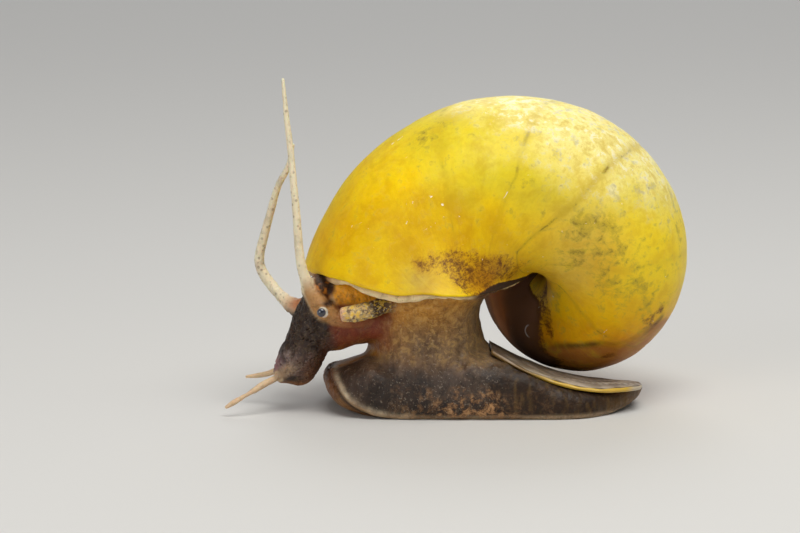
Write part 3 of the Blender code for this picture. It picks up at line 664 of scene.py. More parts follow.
def paint_shell(shell, behind):
    """Works out the ground colour of the shell at each point, and where it is chalky, smoky and mossy.

    behind is 1 where flesh lies against the wall. Every patch is a mask that fades in over its edge.
    """
    coat = Coat(shell, (242, 202, 0), (3.2, 401, 4))
    points = coat.points
    x, y, z, rough, lay = coat.parts()
    near = step(y, 0.0, -6.0)
    lay(step(z + 1.5 * rough, 20.0, 12.0) * step(x, 2.0, 6.0) * 0.6, (236, 180, 4))
    ragged = 0.25 * rough * (behind > 0.05) * (behind < 0.95)
    lay(np.clip(behind + ragged, 0, 1) * 0.9, (222, 178, 0))
    lay(step(x + rough, 13.0, 17.5) * step(z, 9.0, 14.0) * 0.7, (255, 228, 44))
    # Lemon and chalk towards the top on the right side
    lemon = step(z + 0.5 * x + 2.5 * rough, 19.5, 29.0) * step(z + rough, 18.0, 23.5)
    lay(lemon * 0.85, (226, 208, 50))
    chalky = step(z + 0.5 * x + 2.0 * rough, 28.0, 36.0)
    lay(chalky, (248, 236, 152))
    # Patches
    lay(zone(points, (-14.0, -9.0, 19.0, 4.5)) * near * 0.6, (232, 164, 0))
    lay(zone(points, (13.0, -10.5, 19.5, 4.5), (11.5, -8.5, 14.0, 3.0)) * 0.5, (236, 206, 104))
    lay(zone(points, (1.5, -15.6, 20.3, 3.4), (-4.0, -17.0, 20.3, 3.0)) * 0.45, (204, 156, 0))
    lay(zone(points, (1.6, -14.6, 14.2, 1.6), (3.2, -13.2, 14.6, 1.5)) * 0.7, (186, 122, 24))
    # Painted light: a brighter yellow patch beside the navel that lifts the shade of the notch there.
    lay(zone(points, (7.6, 1.2, 11.3, 1.7), (8.3, -0.3, 10.4, 1.4)), (255, 216, 70))
    rim = zone(points, (1.8, -14.0, 15.6, 2.2), (4.2, -11.8, 15.0, 1.7), (6.0, -8.6, 14.4, 1.4))
    lay(rim * 0.5, (156, 100, 20))
    # Low on the shell, down to the olive line
    lay(step(z + 1.2 * rough, 11.0, 5.0) * step(x, 3.0, 8.0), (230, 158, 14))
    under = read_off(x, BROWN_BELOW) - z + 0.25 * rough
    lay(step(under, -0.2, 0.5) * step(x, 6.0, 9.0) * 0.9, (172, 110, 50))
    line, _ = line_distance(points, np.array(OLIVE_LINE))
    broken = 0.65 + 0.35 * np.clip(2 * rough, -1, 1)
    lay(step(line + 0.25 * rough, 0.85, 0.1) * broken, (92, 74, 22))
    lay(zone(points, (-4.6, -16.4, 14.9, 1.7)) * 0.7, (182, 152, 66))
    smoke = 0.75 * zone(points, *SMOKE_SPOTS)
    smoke = np.maximum(smoke, 0.30 + 0.16 * step(x, 2.0, 10.0))
    moss, strip = zone(points, *MOSS_SPOTS), zone(points, *STRIP_SPOTS)
    coat.levels.update(chalky=chalky, smoke=smoke, moss=moss, strip=strip)
    coat.keep("ground")


def growth_sweep(u):
    """How far, in turns, a growth line runs ahead towards the navel."""
    degrees = np.degrees(u)
    return 0.075 * np.clip((280 - degrees) / 40, 0, 1) ** 1.4 * step(degrees, 150, 200)


def navel_stain_and_shade(turn, u):
    """1 where the base is stained dark and given painted shade: inside the ridge round the navel, and on
    the wall facing the mouth.

    Returns that and, as a second number, 1 on the wall alone.
    """
    degrees = np.degrees(u)
    inner = np.interp(turn, [-0.3, -0.16, -0.08, 0.0], [168, 172, 204, 211])
    ridge = between(degrees, 120, 150, inner - 5, inner + 5) * step(turn, -1.3, -1.0)
    edge = -0.738 + 0.075 * step(degrees, 292, 340) + 0.03 * step(degrees, 290, 325)
    upper = np.interp(turn, [-0.95, -0.87, -0.80], [200, 247, 249])
    facing = between(turn, -1.15, -1.0, edge - 0.045, edge + 0.03)
    facing = facing * between(degrees, upper - 4, upper + 6, 325, 350)
    return np.clip(ridge + facing, 0, 1), facing


def flesh_behind(turn, u):
    """1 where the flesh behind the thin wall of the last whorl makes it a deeper gold."""
    degrees = np.degrees(u)
    edge = -0.038 - (309 - degrees) * 0.0037
    return step(turn, edge - 0.03, edge + 0.03) * between(degrees, 225, 250, 300, 330)


# Body


def foot_form():
    """The foot: upright flattened ovals along X, wider at their lower edge.

    The front and a length under the lid lean up on the left side.
    """
    x, half, low, high, middle = smooth_rows(FOOT_SECTIONS, 8).T[:, :, None]
    u = angles(120)[None, :]
    power = np.where(np.sin(u) > 0, 0.68, 0.5)
    upward = signed_power(np.sin(u), power)
    flare = 1 + 0.05 * (1 - upward)
    across = half * signed_power(np.cos(u), power) * flare
    lean = 0.15 * step(x, -7.5, -9.5) + 0.09 * between(x, -2.0, 1.0, 7.0, 11.0)
    lean = lean * (0.5 + 0.5 * upward)
    return ring_object("foot_form", np.stack([
        x + 0 * u,
        middle + across,
        (low + high) / 2 + (high - low) / 2 * upward - lean * across,
    ], -1), (0.3, 0.3))


def column(name, sections):
    """A column of level rounded oblongs, one above another."""
    z, front, back, left, right = smooth_rows(sections, 8).T[:, :, None]
    u = angles(96)[None, :]
    return ring_object(name, np.stack([
        (front + back) / 2 + (back - front) / 2 * signed_power(np.cos(u), 0.75),
        (left + right) / 2 + (right - left) / 2 * signed_power(np.sin(u), 0.75),
        z + 0 * u,
    ], -1))


def bent_form(name, sections):
    """A form bent in the plane of X and Z, with an oval section square to its run."""
    x, y, z, thick, wide = smooth_rows(sections, 8).T[:, :, None]
    along = unit(np.concatenate([np.gradient(x, axis=0), np.gradient(z, axis=0)], axis=1))
    run, climb = along[:, :1], along[:, 1:]
    u = angles(80)[None, :]
    up = thick * signed_power(np.sin(u), 0.9)
    return ring_object(name, np.stack([
        x - climb * up,
        y + wide * signed_power(np.cos(u), 0.9),
        z + run * up,
    ], -1), (0.4, 0.4))


def ball(name, centre, half_sizes, around=48, rows=24):
    """An ellipsoid: rings of latitude closed at both poles."""
    lift = np.linspace(-math.pi / 2, math.pi / 2, rows + 2)[1:-1, None]
    u = angles(around)[None, :]
    sphere = np.stack([np.cos(lift) * np.cos(u), np.cos(lift) * np.sin(u), np.sin(lift) + 0 * u], -1)
    rings = np.array(centre) + np.array(half_sizes) * sphere
    points = np.vstack([
        rings.reshape(-1, 3),
        np.array(centre) - (0, 0, half_sizes[2]),
        np.array(centre) + (0, 0, half_sizes[2]),
    ])
    return make_object(name, points, ring_faces(rows, around))


def tube_rings(route, radii, around, facing=(0.0, 1.0, 0.0)):
    """Rings square to a route; radii may vary along it and around it."""
    route = np.asarray(route)
    tangent = unit(np.gradient(route, axis=0))
    side = unit(np.cross(tangent, np.array(facing)))
    up = np.cross(side, tangent)
    u = angles(around)[None, :]
    radii = np.broadcast_to(np.asarray(radii).reshape(len(route), -1), (len(route), around))
    return (
        route[:, None]
        + (radii * np.cos(u))[..., None] * side[:, None]
        + (radii * np.sin(u))[..., None] * up[:, None]
    )


def beside_head(place, side):
    """A place given by its distance from the head's middle, on the left (-1) or right (1)."""
    return (place[0], HEAD_Y + side * place[1], place[2])


def tube(name, rows, ends, facing=(0.0, 1.0, 0.0)):
    """A plain tube along rows of place and radius, with each end pushed out a little."""
    return ring_object(name, tube_rings(rows[:, :3], rows[:, 3], 32, facing), ends)


def root_cone(name, route, share):
    """The flared start of a feeler, which the skin flows into."""
    rows = smooth_rows(route, 8)
    return tube(name, rows[:max(4, int(share * len(rows)))], (0.1, 0.1))


def body_forms():
    """The plain forms that are fused into the body."""
    forms = [
        foot_form(),
        column("stalk_form", STALK_SECTIONS),
        column("flank_form", FLANK_SECTIONS),
        bent_form("neck_form", NECK_SECTIONS),
        bent_form("snout_form", SNOUT_SECTIONS),
    ]
    for side in (-1, 1):
        stalk = np.array([(*beside_head(station[:3], side), station[3]) for station in EYE_STALK])
        forms += [
            ball("cheek", beside_head((-15.1, 2.5, 10.9), side), (1.5, 1.5, 1.5)),
            ball("lip", beside_head((-18.6, 0.75, 4.3), side), (1.0, 0.9, 1.4)),
            tube("eye_stalk", smooth_rows(stalk, 4), (0.1, 0.1), (0, 0, 1)),
        ]
    siphon_root = smooth_rows(SIPHON, 6)[:9] * (1, 1, 1, 0.9)
    return forms + [
        tube("flap", smooth_rows(FLAP, 6), (0.2, 0.2)),
        root_cone("left_root", FEELERS["left"], 0.36),
        root_cone("right_root", FEELERS["right"], 0.28),
        root_cone("palp_root", PALPS["left"], 0.3),
        root_cone("palp_root", PALPS["right"], 0.3),
        tube("siphon_root", siphon_root, (0.2, 0.1), (0, 0, 1)),
        ball("right_lobe", RIGHT_LOBE_MIDDLE, RIGHT_LOBE_HALF),
        ball("membrane", *MEMBRANE),
        ball("corner", *MEMBRANE_CORNER),
    ]


def box_cutter(low, high, middle=(0, 0, 0), ways=((1, 0, 0), (0, 1, 0), (0, 0, 1))):
    """A box between two corners, which are measured from a middle along three ways."""
    corners = np.array([[(high if (k >> axis) & 1 else low)[axis] for axis in range(3)] for k in range(8)])
    return make_object("cutter", np.array(middle) + corners @ np.array(ways), BOX_FACES)


def operculum_height(x, y):
    """Height of the lid's upper face: a curve along the tail that falls away from the left edge."""
    near = OPERCULUM_MIDDLE[1] - OPERCULUM_HALF[1]
    curve = OPERCULUM_CURVE * np.clip(OPERCULUM_FLAT_FROM - x, 0, None) ** 2
    return OPERCULUM_LOW + curve - OPERCULUM_FALL * (y - near)


def lid_bed():
    """Cutter: the room of the lid and all above it, which presses a seat into the tail."""
    u = angles(96)[None, :]
    share = np.array([0.3, 0.6, 0.85, 1.0])[:, None]
    grow = 1.6
    x = OPERCULUM_MIDDLE[0] + (OPERCULUM_HALF[0] + grow) * share * signed_power(np.cos(u), 0.9)
    far = np.where(np.sin(u) > 0, 4.6, 0.0)
    y = OPERCULUM_MIDDLE[1] + (OPERCULUM_HALF[1] + grow + far) * share * signed_power(np.sin(u), 0.9)
    x = np.maximum(x, OPERCULUM_END - 0.1)
    under = np.stack([x, y, operculum_height(x, y) - OPERCULUM_THICK + 0.02], -1)
    rings = np.concatenate([under, under[::-1] + (0, 0, 12.0)])
    return ring_object("lid_bed", rings)


def shell_room():
    """Cutters: the inside of the shell's last turn and a half, so that no flesh stands through its wall."""
    u = angles(72)[None, :]
    rooms = []
    for name, first, last, rows in (("room", -0.85, -0.03, 60), ("older", -1.7, -0.83, 50)):
        turns = np.linspace(first, last, rows)[:, None]
        rooms.append(ring_object(name, whorl(turns + 0 * u, u + 0 * turns, 0.1)))
    return rooms


def outside_mouth():
    """Cutter: all that lies above the mouth's plane round the stalk but outside the mouth itself."""
    shell_ways = (OUTER_LIP, POINT_WAY, GROWTH_WAY)
    collar = box_cutter((-9.0, -16.0, -4.5), (14.6, 18.0, -0.05), AXIS_AT, shell_ways)
    u = angles(96)[None, :]
    turns = np.linspace(-0.09, 0.0, 12)[:, None]
    inside = whorl(turns + lip_turn(u), u + 0 * turns, -0.55)
    plug = ring_object("plug", np.concatenate([inside, inside[-1:] + 2.0 * GROWTH_WAY]))
    return combine(collar, [plug], "DIFFERENCE")


def fused_body():
    """Fuses the plain forms on a fine grid and softens the joins."""
    forms = body_forms()
    counts = np.cumsum([0] + [len(form.data.vertices) for form in forms])
    points = np.vstack([places(form) for form in forms])
    faces = []
    for form, first in zip(forms, counts):
        faces += [[first + corner for corner in polygon.vertices] for polygon in form.data.polygons]
    for form in forms:
        bpy.data.objects.remove(form, do_unlink=True)
    body = make_object("skin", points, faces)
    fuse = body.modifiers.new("fuse", "REMESH")
    fuse.mode = "VOXEL"
    fuse.voxel_size = VOXEL * MM
    soften = body.modifiers.new("soften", "SMOOTH")
    soften.factor = 0.5
    soften.iterations = SMOOTHINGS
    return settle(body)


def soften_at(obj, roots, rounds):
    """Evens out the points near each root, so that a feeler grows out of the skin with no step.

    In each round a point moves halfway to the mean of its neighbours.
    """
    points = places(obj)
    chosen = np.zeros(len(points), bool)
    for *root, reach in roots:
        chosen |= np.linalg.norm(points - np.array(root), axis=1) < reach
    edges = np.empty(len(obj.data.edges) * 2, np.int32)
    obj.data.edges.foreach_get("vertices", edges)
    one, two = edges.reshape(-1, 2).T
    ends, starts = np.concatenate([one, two]), np.concatenate([two, one])
    wanted = chosen[ends]
    ends, starts = ends[wanted], starts[wanted]
    count = np.bincount(ends, minlength=len(points))[chosen]
    for _ in range(rounds):
        total = np.stack([np.bincount(ends, points[starts, axis], len(points)) for axis in range(3)], -1)
        points[chosen] = 0.5 * points[chosen] + 0.5 * total[chosen] / count[:, None]
    move_to(obj, points)


def feeler(name, route, spans, around, seed, uneven=1.0):
    """A long soft feeler: fine rings of skin and a slightly uneven width along a smooth route."""
    rows = smooth_rows(route, spans)
    run = np.concatenate([[0], np.cumsum(np.linalg.norm(np.diff(rows[:, :3], axis=0), axis=1))])[:, None]
    u = angles(around)[None, :]
    fine = np.stack([run * 2.2 + 0 * u, np.cos(u) * 0.5 + 0 * run, np.sin(u) * 0.5 + 0 * run], -1)
    swelling = 0.05 * noise(fine, 1.0, seed) + 0.035 * noise(fine, 0.3, seed + 1)
    radii = rows[:, 3:] * (1 + uneven * swelling)
    middle = rows[:, :3]
    sway = np.stack([noise(middle, 4.0, seed + 2), noise(middle, 4.0, seed + 3), 0 * middle[:, 0]], -1)
    middle = middle + 0.06 * uneven * step(run, 3.0, 8.0) * sway
    return ring_object(name, tube_rings(middle, radii, around), (0.0, 0.12))


def siphon_tube():
    """The breathing tube: a warty sleeve with a rounded end and a hollow opening."""
    rows = smooth_rows(SIPHON, 16)
    route, radii = rows[:, :3], rows[:, 3:]
    way = unit(route[-1] - route[-2])
    around = 72
    u = angles(around)[None, :]
    run = np.arange(len(rows))[:, None] * 0.11
    place = np.stack([run + 0 * u, 0.9 * np.cos(u) + 0 * run, 0.9 * np.sin(u) + 0 * run], -1)
    warts = np.clip(noise(place, 0.34, 31) + 0.1, 0, 1) + 0.4 * noise(place, 0.8, 33)
    radii = radii * (1 + 0.11 * warts)
    outer = tube_rings(route, radii, around, (0, 0, 1))
    end, edge = outer[-1], route[-1]
    rim = np.array([edge + (end - edge) * share + way * push for share, push in SIPHON_RIM])
    return ring_object("siphon", np.concatenate([outer, rim]))


def mantle_bowl():
    """The mantle in the mouth of the shell: a wavy rolled edge under the lip and a roof with its hollow.

    Each ring follows the mouth at its own inset from the wall and its own depth, measured out of the mouth.
    """
    u = angles(288)
    full = read_off(np.degrees(u), ROLL_FULLNESS)
    circle = np.stack([np.cos(u), np.sin(u), 0 * u], -1)
    thick = 0.36 * full * (1 + 0.26 * noise(circle, 0.10, 41, 3))
    sag = 0.08 + 0.06 * full + 0.15 * noise(circle, 0.2, 43, 2) * full
    sleeve = ((7.0, 0.07), (2.5, 0.07), (1.1, 0.062), (0.7, 0.045), (0.55, 0.02))
    rings = [mouth_ring(u, inset, 0 * u, back) for inset, back in sleeve]
    for bend in np.radians(np.arange(-50, 211, 20)):
        inset = 0.42 + thick * (0.55 - 0.85 * np.cos(bend))
        rings.append(mouth_ring(u, inset, 0.16 + sag + thick * (0.25 + np.sin(bend))))
    rings.append(mouth_ring(u, 0.46 + 2.1 * thick, 0.0 * u - 0.05))
    insets = np.concatenate([[1.15, 1.35, 1.6, 1.9], np.linspace(2.3, 10.6, 22)])
    for inset in insets:
        ring = mouth_ring(u, inset + 0 * u, 0 * u)
        rings.append(ring - roof_depth(ring, inset)[:, None] * GROWTH_WAY)
    return ring_object("mantle", np.array(rings))


def mouth_ring(u, inset, depth, back=0.0):
    """The mouth's outline drawn in by an inset, moved out by a depth or back along the tube by turns."""
    return whorl(lip_turn(u) - back, u, -inset) + depth[:, None] * GROWTH_WAY


def roof_depth(ring, inset):
    """Depth of the mantle's roof: shallow, but for the hollow behind the head."""
    share = 1 - (((ring[:, :2] - CAVITY_MIDDLE) / CAVITY_HALF) ** 2).sum(axis=1)
    hollow = CAVITY_DEPTH * np.sqrt(np.clip(share, 0, 1))
    return 0.35 * step(inset, 1.0, 1.8) + hollow * step(inset, 0.9, 1.9)


def make_skin():
    """All the flesh as one skin: the fused body with its mantle, siphon and feelers grown on."""
    body = fused_body()
    cutters = [box_cutter((-60, -60, -20), (60, 60, 0)), lid_bed(), outside_mouth(), *shell_room()]
    combine(body, cutters, "DIFFERENCE")
    growths = [
        mantle_bowl(),
        siphon_tube(),
        feeler("feeler_left", FEELERS["left"], 22, 28, 51),
        feeler("feeler_right", FEELERS["right"], 18, 28, 61),
        feeler("palp_left", PALPS["left"], 14, 20, 71, 0.2),
        feeler("palp_right", PALPS["right"], 14, 20, 81, 0.2),
    ]
    combine(body, growths, "UNION")
    soften_at(body, SOFT_ROOTS, ROOT_SMOOTHINGS)
    relief(body)
    paint(body)
    return body


def ahead_of_fold(x, z):
    """How far a point of the foot's side is in front of the fold; above 0 it is on the snail's front."""
    return np.interp(z, FOLD[::-1, 1], FOLD[::-1, 0]) - x


def relief(skin):
    """Gives the skin its folds: the corner fold of the foot, the mouth's line, wrinkles and small lumps.

    Each is a height in millimetres times a mask of where it lies, and the sum moves each point outwards.
    """
    points = places(skin)
    x, y, z = points.T
    foot = step(z, 7.5, 5.8) * step(np.abs(y - BODY_Y), 4.0, 6.0) * step(z, 0.02, 0.3)
    far_top = step(y, -6.0, -4.0) * step(z, 2.2, 3.2)
    fold, _ = line_distance(points[:, [0, 2]], FOLD)
    side = np.sign(ahead_of_fold(x, z))
    lumpy = 1 + 0.5 * noise(points, 0.7, 131)
    corner = foot * step(x, -3.2, -5.5) * step(z, 5.5, 4.8) * (1 - far_top)
    groove = FOLD_GROOVE * bump_at(fold * side, 0.62, 0.22)
    move = corner * lumpy * (FOLD_RISE * bump_at(fold, 0, 0.30) - groove)
    move += 0.11 * foot * noise(points * (1.0, 1.0, 0.45), 1.4, 101, 4)
    stalk = between(z, 4.5, 6.5, 13.0, 15.0) * step(x, -10.5, -9.0)
    move += 0.12 * stalk * noise(points * (1.0, 1.0, 0.5), 1.2, 111, 4)
    head = step(x, -12.0, -13.5) * between(z, 2.0, 3.0, 11.5, 12.5)
    for route in PALPS.values():
        away, share = line_distance(points, np.array(route)[:, :3])
        head = head * (1 - step(away, 1.3, 0.8) * step(share, 0.0, 0.15))
    creases = np.abs(noise(points * (1.0, 1.0, 1.6), 1.1, 121, 3))
    move += head * (0.07 * noise(points, 0.7, 123, 3) - 0.16 * step(creases, 0.20, 0.0))
    neck = between(x, -14.5, -13.0, -9.5, -8.0) * between(z, 6.4, 7.0, 10.5, 11.5)
    move += 0.08 * neck * noise(points * (0.5, 1.0, 1.4), 0.9, 127, 3)
    membrane = step(np.abs(y + 10.5), 2.6, 1.8) * step(z, 11.8, 12.4) * step(np.abs(x + 11.0), 4.4, 3.6)
    move += 0.10 * membrane * noise(points, 0.8, 129, 3)
    slit = bump_at(y, HEAD_Y, 0.22) * step(x, -18.6, -19.1) * between(z, 2.2, 2.7, 5.3, 5.9)
    move -= 0.35 * slit
    move_to(skin, points + move[:, None] * outward(skin))


def paint(skin):
    """Works out the colour of the skin at each point, and where it is mottled, flecked, rusty and warty.

    Each region is laid over the one before, by masks that fade in over its edge.
    """
    coat = Coat(skin, (96, 74, 58), (1.6, 201, 3), mottle=0.75, fleck=0.2, rust=0.0, wart=0.0, net=0.0)
    crumbly = coat.rough + noise(coat.points, 0.5, 211, 2)
    paint_stalk(coat)
    paint_foot(coat)
    paint_head(coat, crumbly)
    paint_mantle(coat, crumbly)
    paint_feelers(coat)
    paint_flaps(coat, crumbly)
    paint_siphon(coat)
    coat.keep("tissue")


def paint_stalk(coat):
    """Stalk: from grey brown at the foot to ochre under the shell, greyer at its back."""
    x, _, z, rough, lay = coat.parts()
    stalk = step(x, -11.5, -8.5)
    lay(step(z + 0.8 * rough, 4.5, 8.5) * stalk, (134, 98, 56), mottle=0.5, net=0.9)
    lay(step(z + 0.8 * rough, 7.5, 11.5) * stalk, (184, 128, 48), mottle=0.35, net=1.0)
    lay(step(x + 0.5 * rough, 0.0, 2.2) * step(z, 4.0, 6.5), (102, 78, 52), mottle=0.4, net=0.4)
    lay(bump_at(x, -2.6, 2.4) * bump_at(z, 7.2, 1.8) * 0.6, (124, 102, 78), mottle=0.9)
    back = step(x + 0.5 * rough, -3.0, 1.0) * between(z, 5.0, 7.0, 10.4, 12.6)
    lay(back * 0.6, (124, 102, 74), mottle=0.6)


def paint_foot(coat):
    """Foot: dark side, olive tail, brown front with a painted highlight along its fold and painted shade in
    the groove ahead of it, and rust low on the side.
    """
    x, y, z, rough, lay = coat.parts()
    points = coat.points
    lay(step(z + 0.9 * rough, 6.2, 3.6) * step(x, -14.5, -9.5), (39, 25, 15), mottle=0.8, net=0.0)
    lay(bump_at(x, -1.0, 4.0) * bump_at(z, 3.4, 1.9) * 0.55, (92, 78, 68), mottle=1.0)
    streaks = noise(points * (1.6, 1.0, 0.35), 0.6, 225, 2)
    tail = step(x, 2.0, 6.0) * step(z, 8.0, 5.5)
    lay(tail, (38, 20, 3), mottle=0.12, net=0.0)
    lay(tail * step(streaks, 0.1, 0.7) * 0.5, (92, 68, 30))
    lay(tail * step(streaks, -0.2, -0.8) * 0.6, (34, 22, 8))
    lay(step(x, 13.5, 18.5) * step(z, 4.4, 3.2) * 0.7, (124, 90, 40), mottle=0.4)
    front = step(x, -8.5, -11.5) * step(z, 6.4, 5.4)
    fold, _ = line_distance(points[:, [0, 2]], FOLD)
    side = ahead_of_fold(x, z)
    ahead = step(side, 0.1, 0.45) * step(z, 6.4, 5.4)
    lay(front, (58, 38, 24), mottle=0.5)
    lay(ahead, (128, 88, 44), mottle=0.2)
    lay(ahead * step(z, 3.6, 5.0), (62, 38, 20), mottle=0.2)
    above = z + 0.15 * (y + 12.0) - read_off(x, AMBER_EDGE)
    lay(step(above, -0.45, -0.1) * step(x, -7.8, -9.0) * step(z, 8.2, 7.0), (150, 98, 36), mottle=0.2)
    # Painted shade: a dark line in the groove just ahead of the fold.
    lay(bump_at(fold, 0.56, 0.17) * (side > 0) * step(x, -6.0, -8.0), (46, 30, 22), mottle=0.2)
    # Painted highlight: pale dashes along the ridge of the fold, left off on the far side.
    near = 1 - step(y, -6.0, -4.0) * step(z, 2.2, 3.2)
    dashes = 0.66 + 0.34 * np.clip(noise(points, 0.8, 221) * 1.8, -1, 1)
    fold_highlight = bump_at(fold, 0.0, 0.36) * step(x, -3.6, -5.5) * step(z, 6.0, 5.2)
    lay(fold_highlight * dashes * near, (188, 168, 138), mottle=0.3)
    low = step(z + 0.9 * rough, 3.9, 1.2) * (0.35 * step(x, -8.5, -5.5) + 0.65 * step(x, -5.0, 0.0))
    lay(low * (0.12 * step(x, 13.0, 9.0) + 0.88 * step(x, 7.0, 2.5)), rust=1.0)
    lay(step(z, 0.7, 0.3) * step(x, -9.0, -6.0), (150, 126, 96), mottle=0.6)


def paint_head(coat, crumbly):
    """Neck and head: red brown neck, dark head, greyer on the snout with painted highlights near its tip,
    and painted shade in the slit of the mouth.
    """
    x, y, z, rough, lay = coat.parts()
    neck = step(x + 0.4 * rough, -5.8, -8.8) * step(z, 6.5, 7.5)
    lay(neck, (122, 52, 26), mottle=0.35, fleck=0.1, net=0.2)
    lay(neck * step(z + 0.3 * rough, 9.8, 11.0), (140, 64, 34), mottle=0.3)
    lay(neck * step(z, 8.6, 7.4) * step(x, -13.5, -9.5), (134, 82, 40), mottle=0.35, net=0.5)
    head = step(x + 0.35 * rough, -12.4, -14.2) * between(z, 1.5, 2.0, 12.8, 13.6)
    lay(head, (42, 25, 16), mottle=0.42, fleck=0.2, net=0.1)
    lay(head * step(x, -15.4, -13.6) * step(z, 9.0, 7.0), (76, 42, 26), mottle=0.4)
    cloudy = head * step(rough, -0.2, 0.5) * step(z, 8.0, 6.0) * step(x, -14.4, -15.6)
    lay(cloudy * 0.8, (92, 70, 62), mottle=0.8)
    # Painted highlight: pinkish grey at the tip of the snout.
    lay(head * bump_at(x, -19.3, 0.7) * bump_at(z, 5.2, 0.9), (142, 98, 104), mottle=0.5)
    lay(head * step(x, -17.2, -15.4) * step(z + 0.6 * rough, 6.8, 4.6), (104, 66, 42), mottle=0.6)
    # Painted highlight: pale grey patches near the snout's tip.
    pale = head * bump_at(x, -18.3, 1.0) * bump_at(z, 5.9, 1.2) * step(crumbly, -0.5, 0.4)
    lay(pale * 0.8, (142, 122, 116), mottle=0.6)
    lay(head * step(z, 3.7, 2.8), (134, 86, 44), mottle=0.4)
    # Painted shade in the slit of the mouth.
    slit = bump_at(y, HEAD_Y, 0.16) * step(x, -18.4, -19.0) * step(z, 5.9, 5.3)
    lay(slit, (30, 18, 16), mottle=0.2)


def paint_mantle(coat, crumbly):
    """Mantle: an amber hollow, made bright as painted light glowing through the shell, with a dark corner,
    and a cream rolled edge that is darker at both ends.
    """
    x, y, z, rough, lay = coat.parts()
    hollow = step(z + 0.1 * rough, 11.5, 12.0) * between(x, -17.5, -16.5, -8.4, -7.2) * step(y, 9.5, 8.0)
    # Painted light: the hollow's amber is made bright to stand in for light glowing through the shell; it
    # is darker towards its right end.
    lay(hollow, (255, 176, 34), mottle=0.7, fleck=0.6)
    lay(hollow * step(x, -9.2, -7.6), (150, 84, 34))
    dark = hollow * step(x + 0.6 * rough, -12.8, -14.6) * step(crumbly, -0.45, 0.1)
    lay(dark, (50, 30, 18), mottle=0.3)
    edge = edge_profile(coat.points)
    lay(edge, (232, 206, 156), mottle=0.55, fleck=0.1, net=0.0)
    lay(edge * step(x, 0.6, 2.0) * step(y, -9.0, -12.0), (92, 58, 32))
    lay(edge * step(x + rough, -11.4, -13.6) * 0.8, (158, 112, 76))


def behind_flap_front(coat):
    """1 behind the front edge of the flap beside the head, and 0 on the dark head before it."""
    return step(coat.x - read_off(coat.z, FLAP_FRONT), -0.25, 0.15)


def paint_feelers(coat):
    """Long feelers: cream with flecks, warmer near their roots."""
    _, y, z, _, lay = coat.parts()
    flap_side = behind_flap_front(coat)
    left_only = step(y, -10.7, -11.5) * flap_side
    for side_name, where, warm in (("left", left_only, (184, 140, 92)), ("right", 1.0, (188, 126, 84))):
        away, share, width = coat.along(FEELERS[side_name])
        mask = step(away, width * 1.5 + 0.3, width * 1.15 + 0.05) * step(z, 9.4, 10.8) * where
        lay(mask * step(share, 0.02, 0.10), (234, 222, 190), mottle=0.35, fleck=0.8, net=0.0)
        lay(mask * step(share, 0.26, 0.10), warm, mottle=0.3, fleck=0.4)


def paint_flaps(coat, crumbly):
    """Flaps beside the head with painted shade in their crease, the lip feelers, and the dark corner by the
    left feeler.
    """
    x, y, z, _, lay = coat.parts()
    points = coat.points
    flap_side = behind_flap_front(coat)
    flap = np.array(FLAP)
    away, share = line_distance(points[:, [0, 2]], flap[:, [0, 2]])
    width = np.interp(share, np.linspace(0, 1, len(flap)), flap[:, 3])
    for way in (-1, 1):
        outer = way * (y - HEAD_Y)
        mask = step(away, width + 0.25, width - 0.15) * step(outer, 2.8, 3.4)
        mask = mask * step(z, 15.4, 12.6) * flap_side
        lay(mask, (174, 128, 76), mottle=0.25, fleck=0.2, net=0.0)
        lay(mask * step(share, 0.5, 0.85), (146, 80, 42), mottle=0.3)
        # Painted shade: a dark line in the crease of each flap.
        crease_shade = bump_at(x, -13.75, 0.6) * bump_at(z, 11.95, 0.28) * step(outer, 2.4, 3.0)
        lay(crease_shade * 1.3, (64, 40, 26))
    for route in PALPS.values():
        away, share, _ = coat.along(route)
        lay(step(away, 0.75, 0.5) * step(share, 0.03, 0.2), (208, 180, 144), mottle=0.15, fleck=0.1)
    streak, share = line_distance(points, np.array(SNOUT_STREAK))
    lay(step(streak, 0.85, 0.3) * step(share, 0.0, 0.5) * 0.9, (156, 130, 104), mottle=0.5)
    from_corner = np.linalg.norm(points - np.array(MEMBRANE_CORNER[0]), axis=1)
    corner = step(from_corner, 2.1, 1.6) * step(x, -15.6, -14.9)
    lay(corner, (176, 104, 26), mottle=0.35, fleck=0.3)
    lay(corner * step(crumbly, -0.5, 0.1), (58, 36, 20))
    beside_flap = (1 - flap_side) * between(z, 9.4, 10.0, 12.8, 13.3) * step(y, -6.4, -7.4)
    lay(beside_flap, (40, 24, 15), mottle=0.4)


def paint_siphon(coat):
    """Breathing tube: cream and warty, dark at its root, pink at its end, with painted shade in its
    opening.
    """
    rough, lay = coat.rough, coat.lay
    away, share, width = coat.along(SIPHON)
    siphon = step(away, 1.14 * width + 0.16, 1.14 * width + 0.06) * step(share, 0.12, 0.3)
    lay(siphon, (198, 168, 116), mottle=0.15, fleck=0.0, net=0.0, wart=1.0)
    lay(siphon * step(share + 0.06 * rough, 0.56, 0.42), (70, 48, 30), wart=0.7)
    opening = np.linalg.norm(coat.points - np.array(SIPHON[-1][:3]) - (-0.3, 0, 0), axis=1)
    lay(step(opening, 1.0, 0.6), (222, 172, 146), wart=0.25)
    # Painted shade in the siphon's opening.
    lay(step(opening, 0.42, 0.26), (120, 62, 52), wart=0.0)


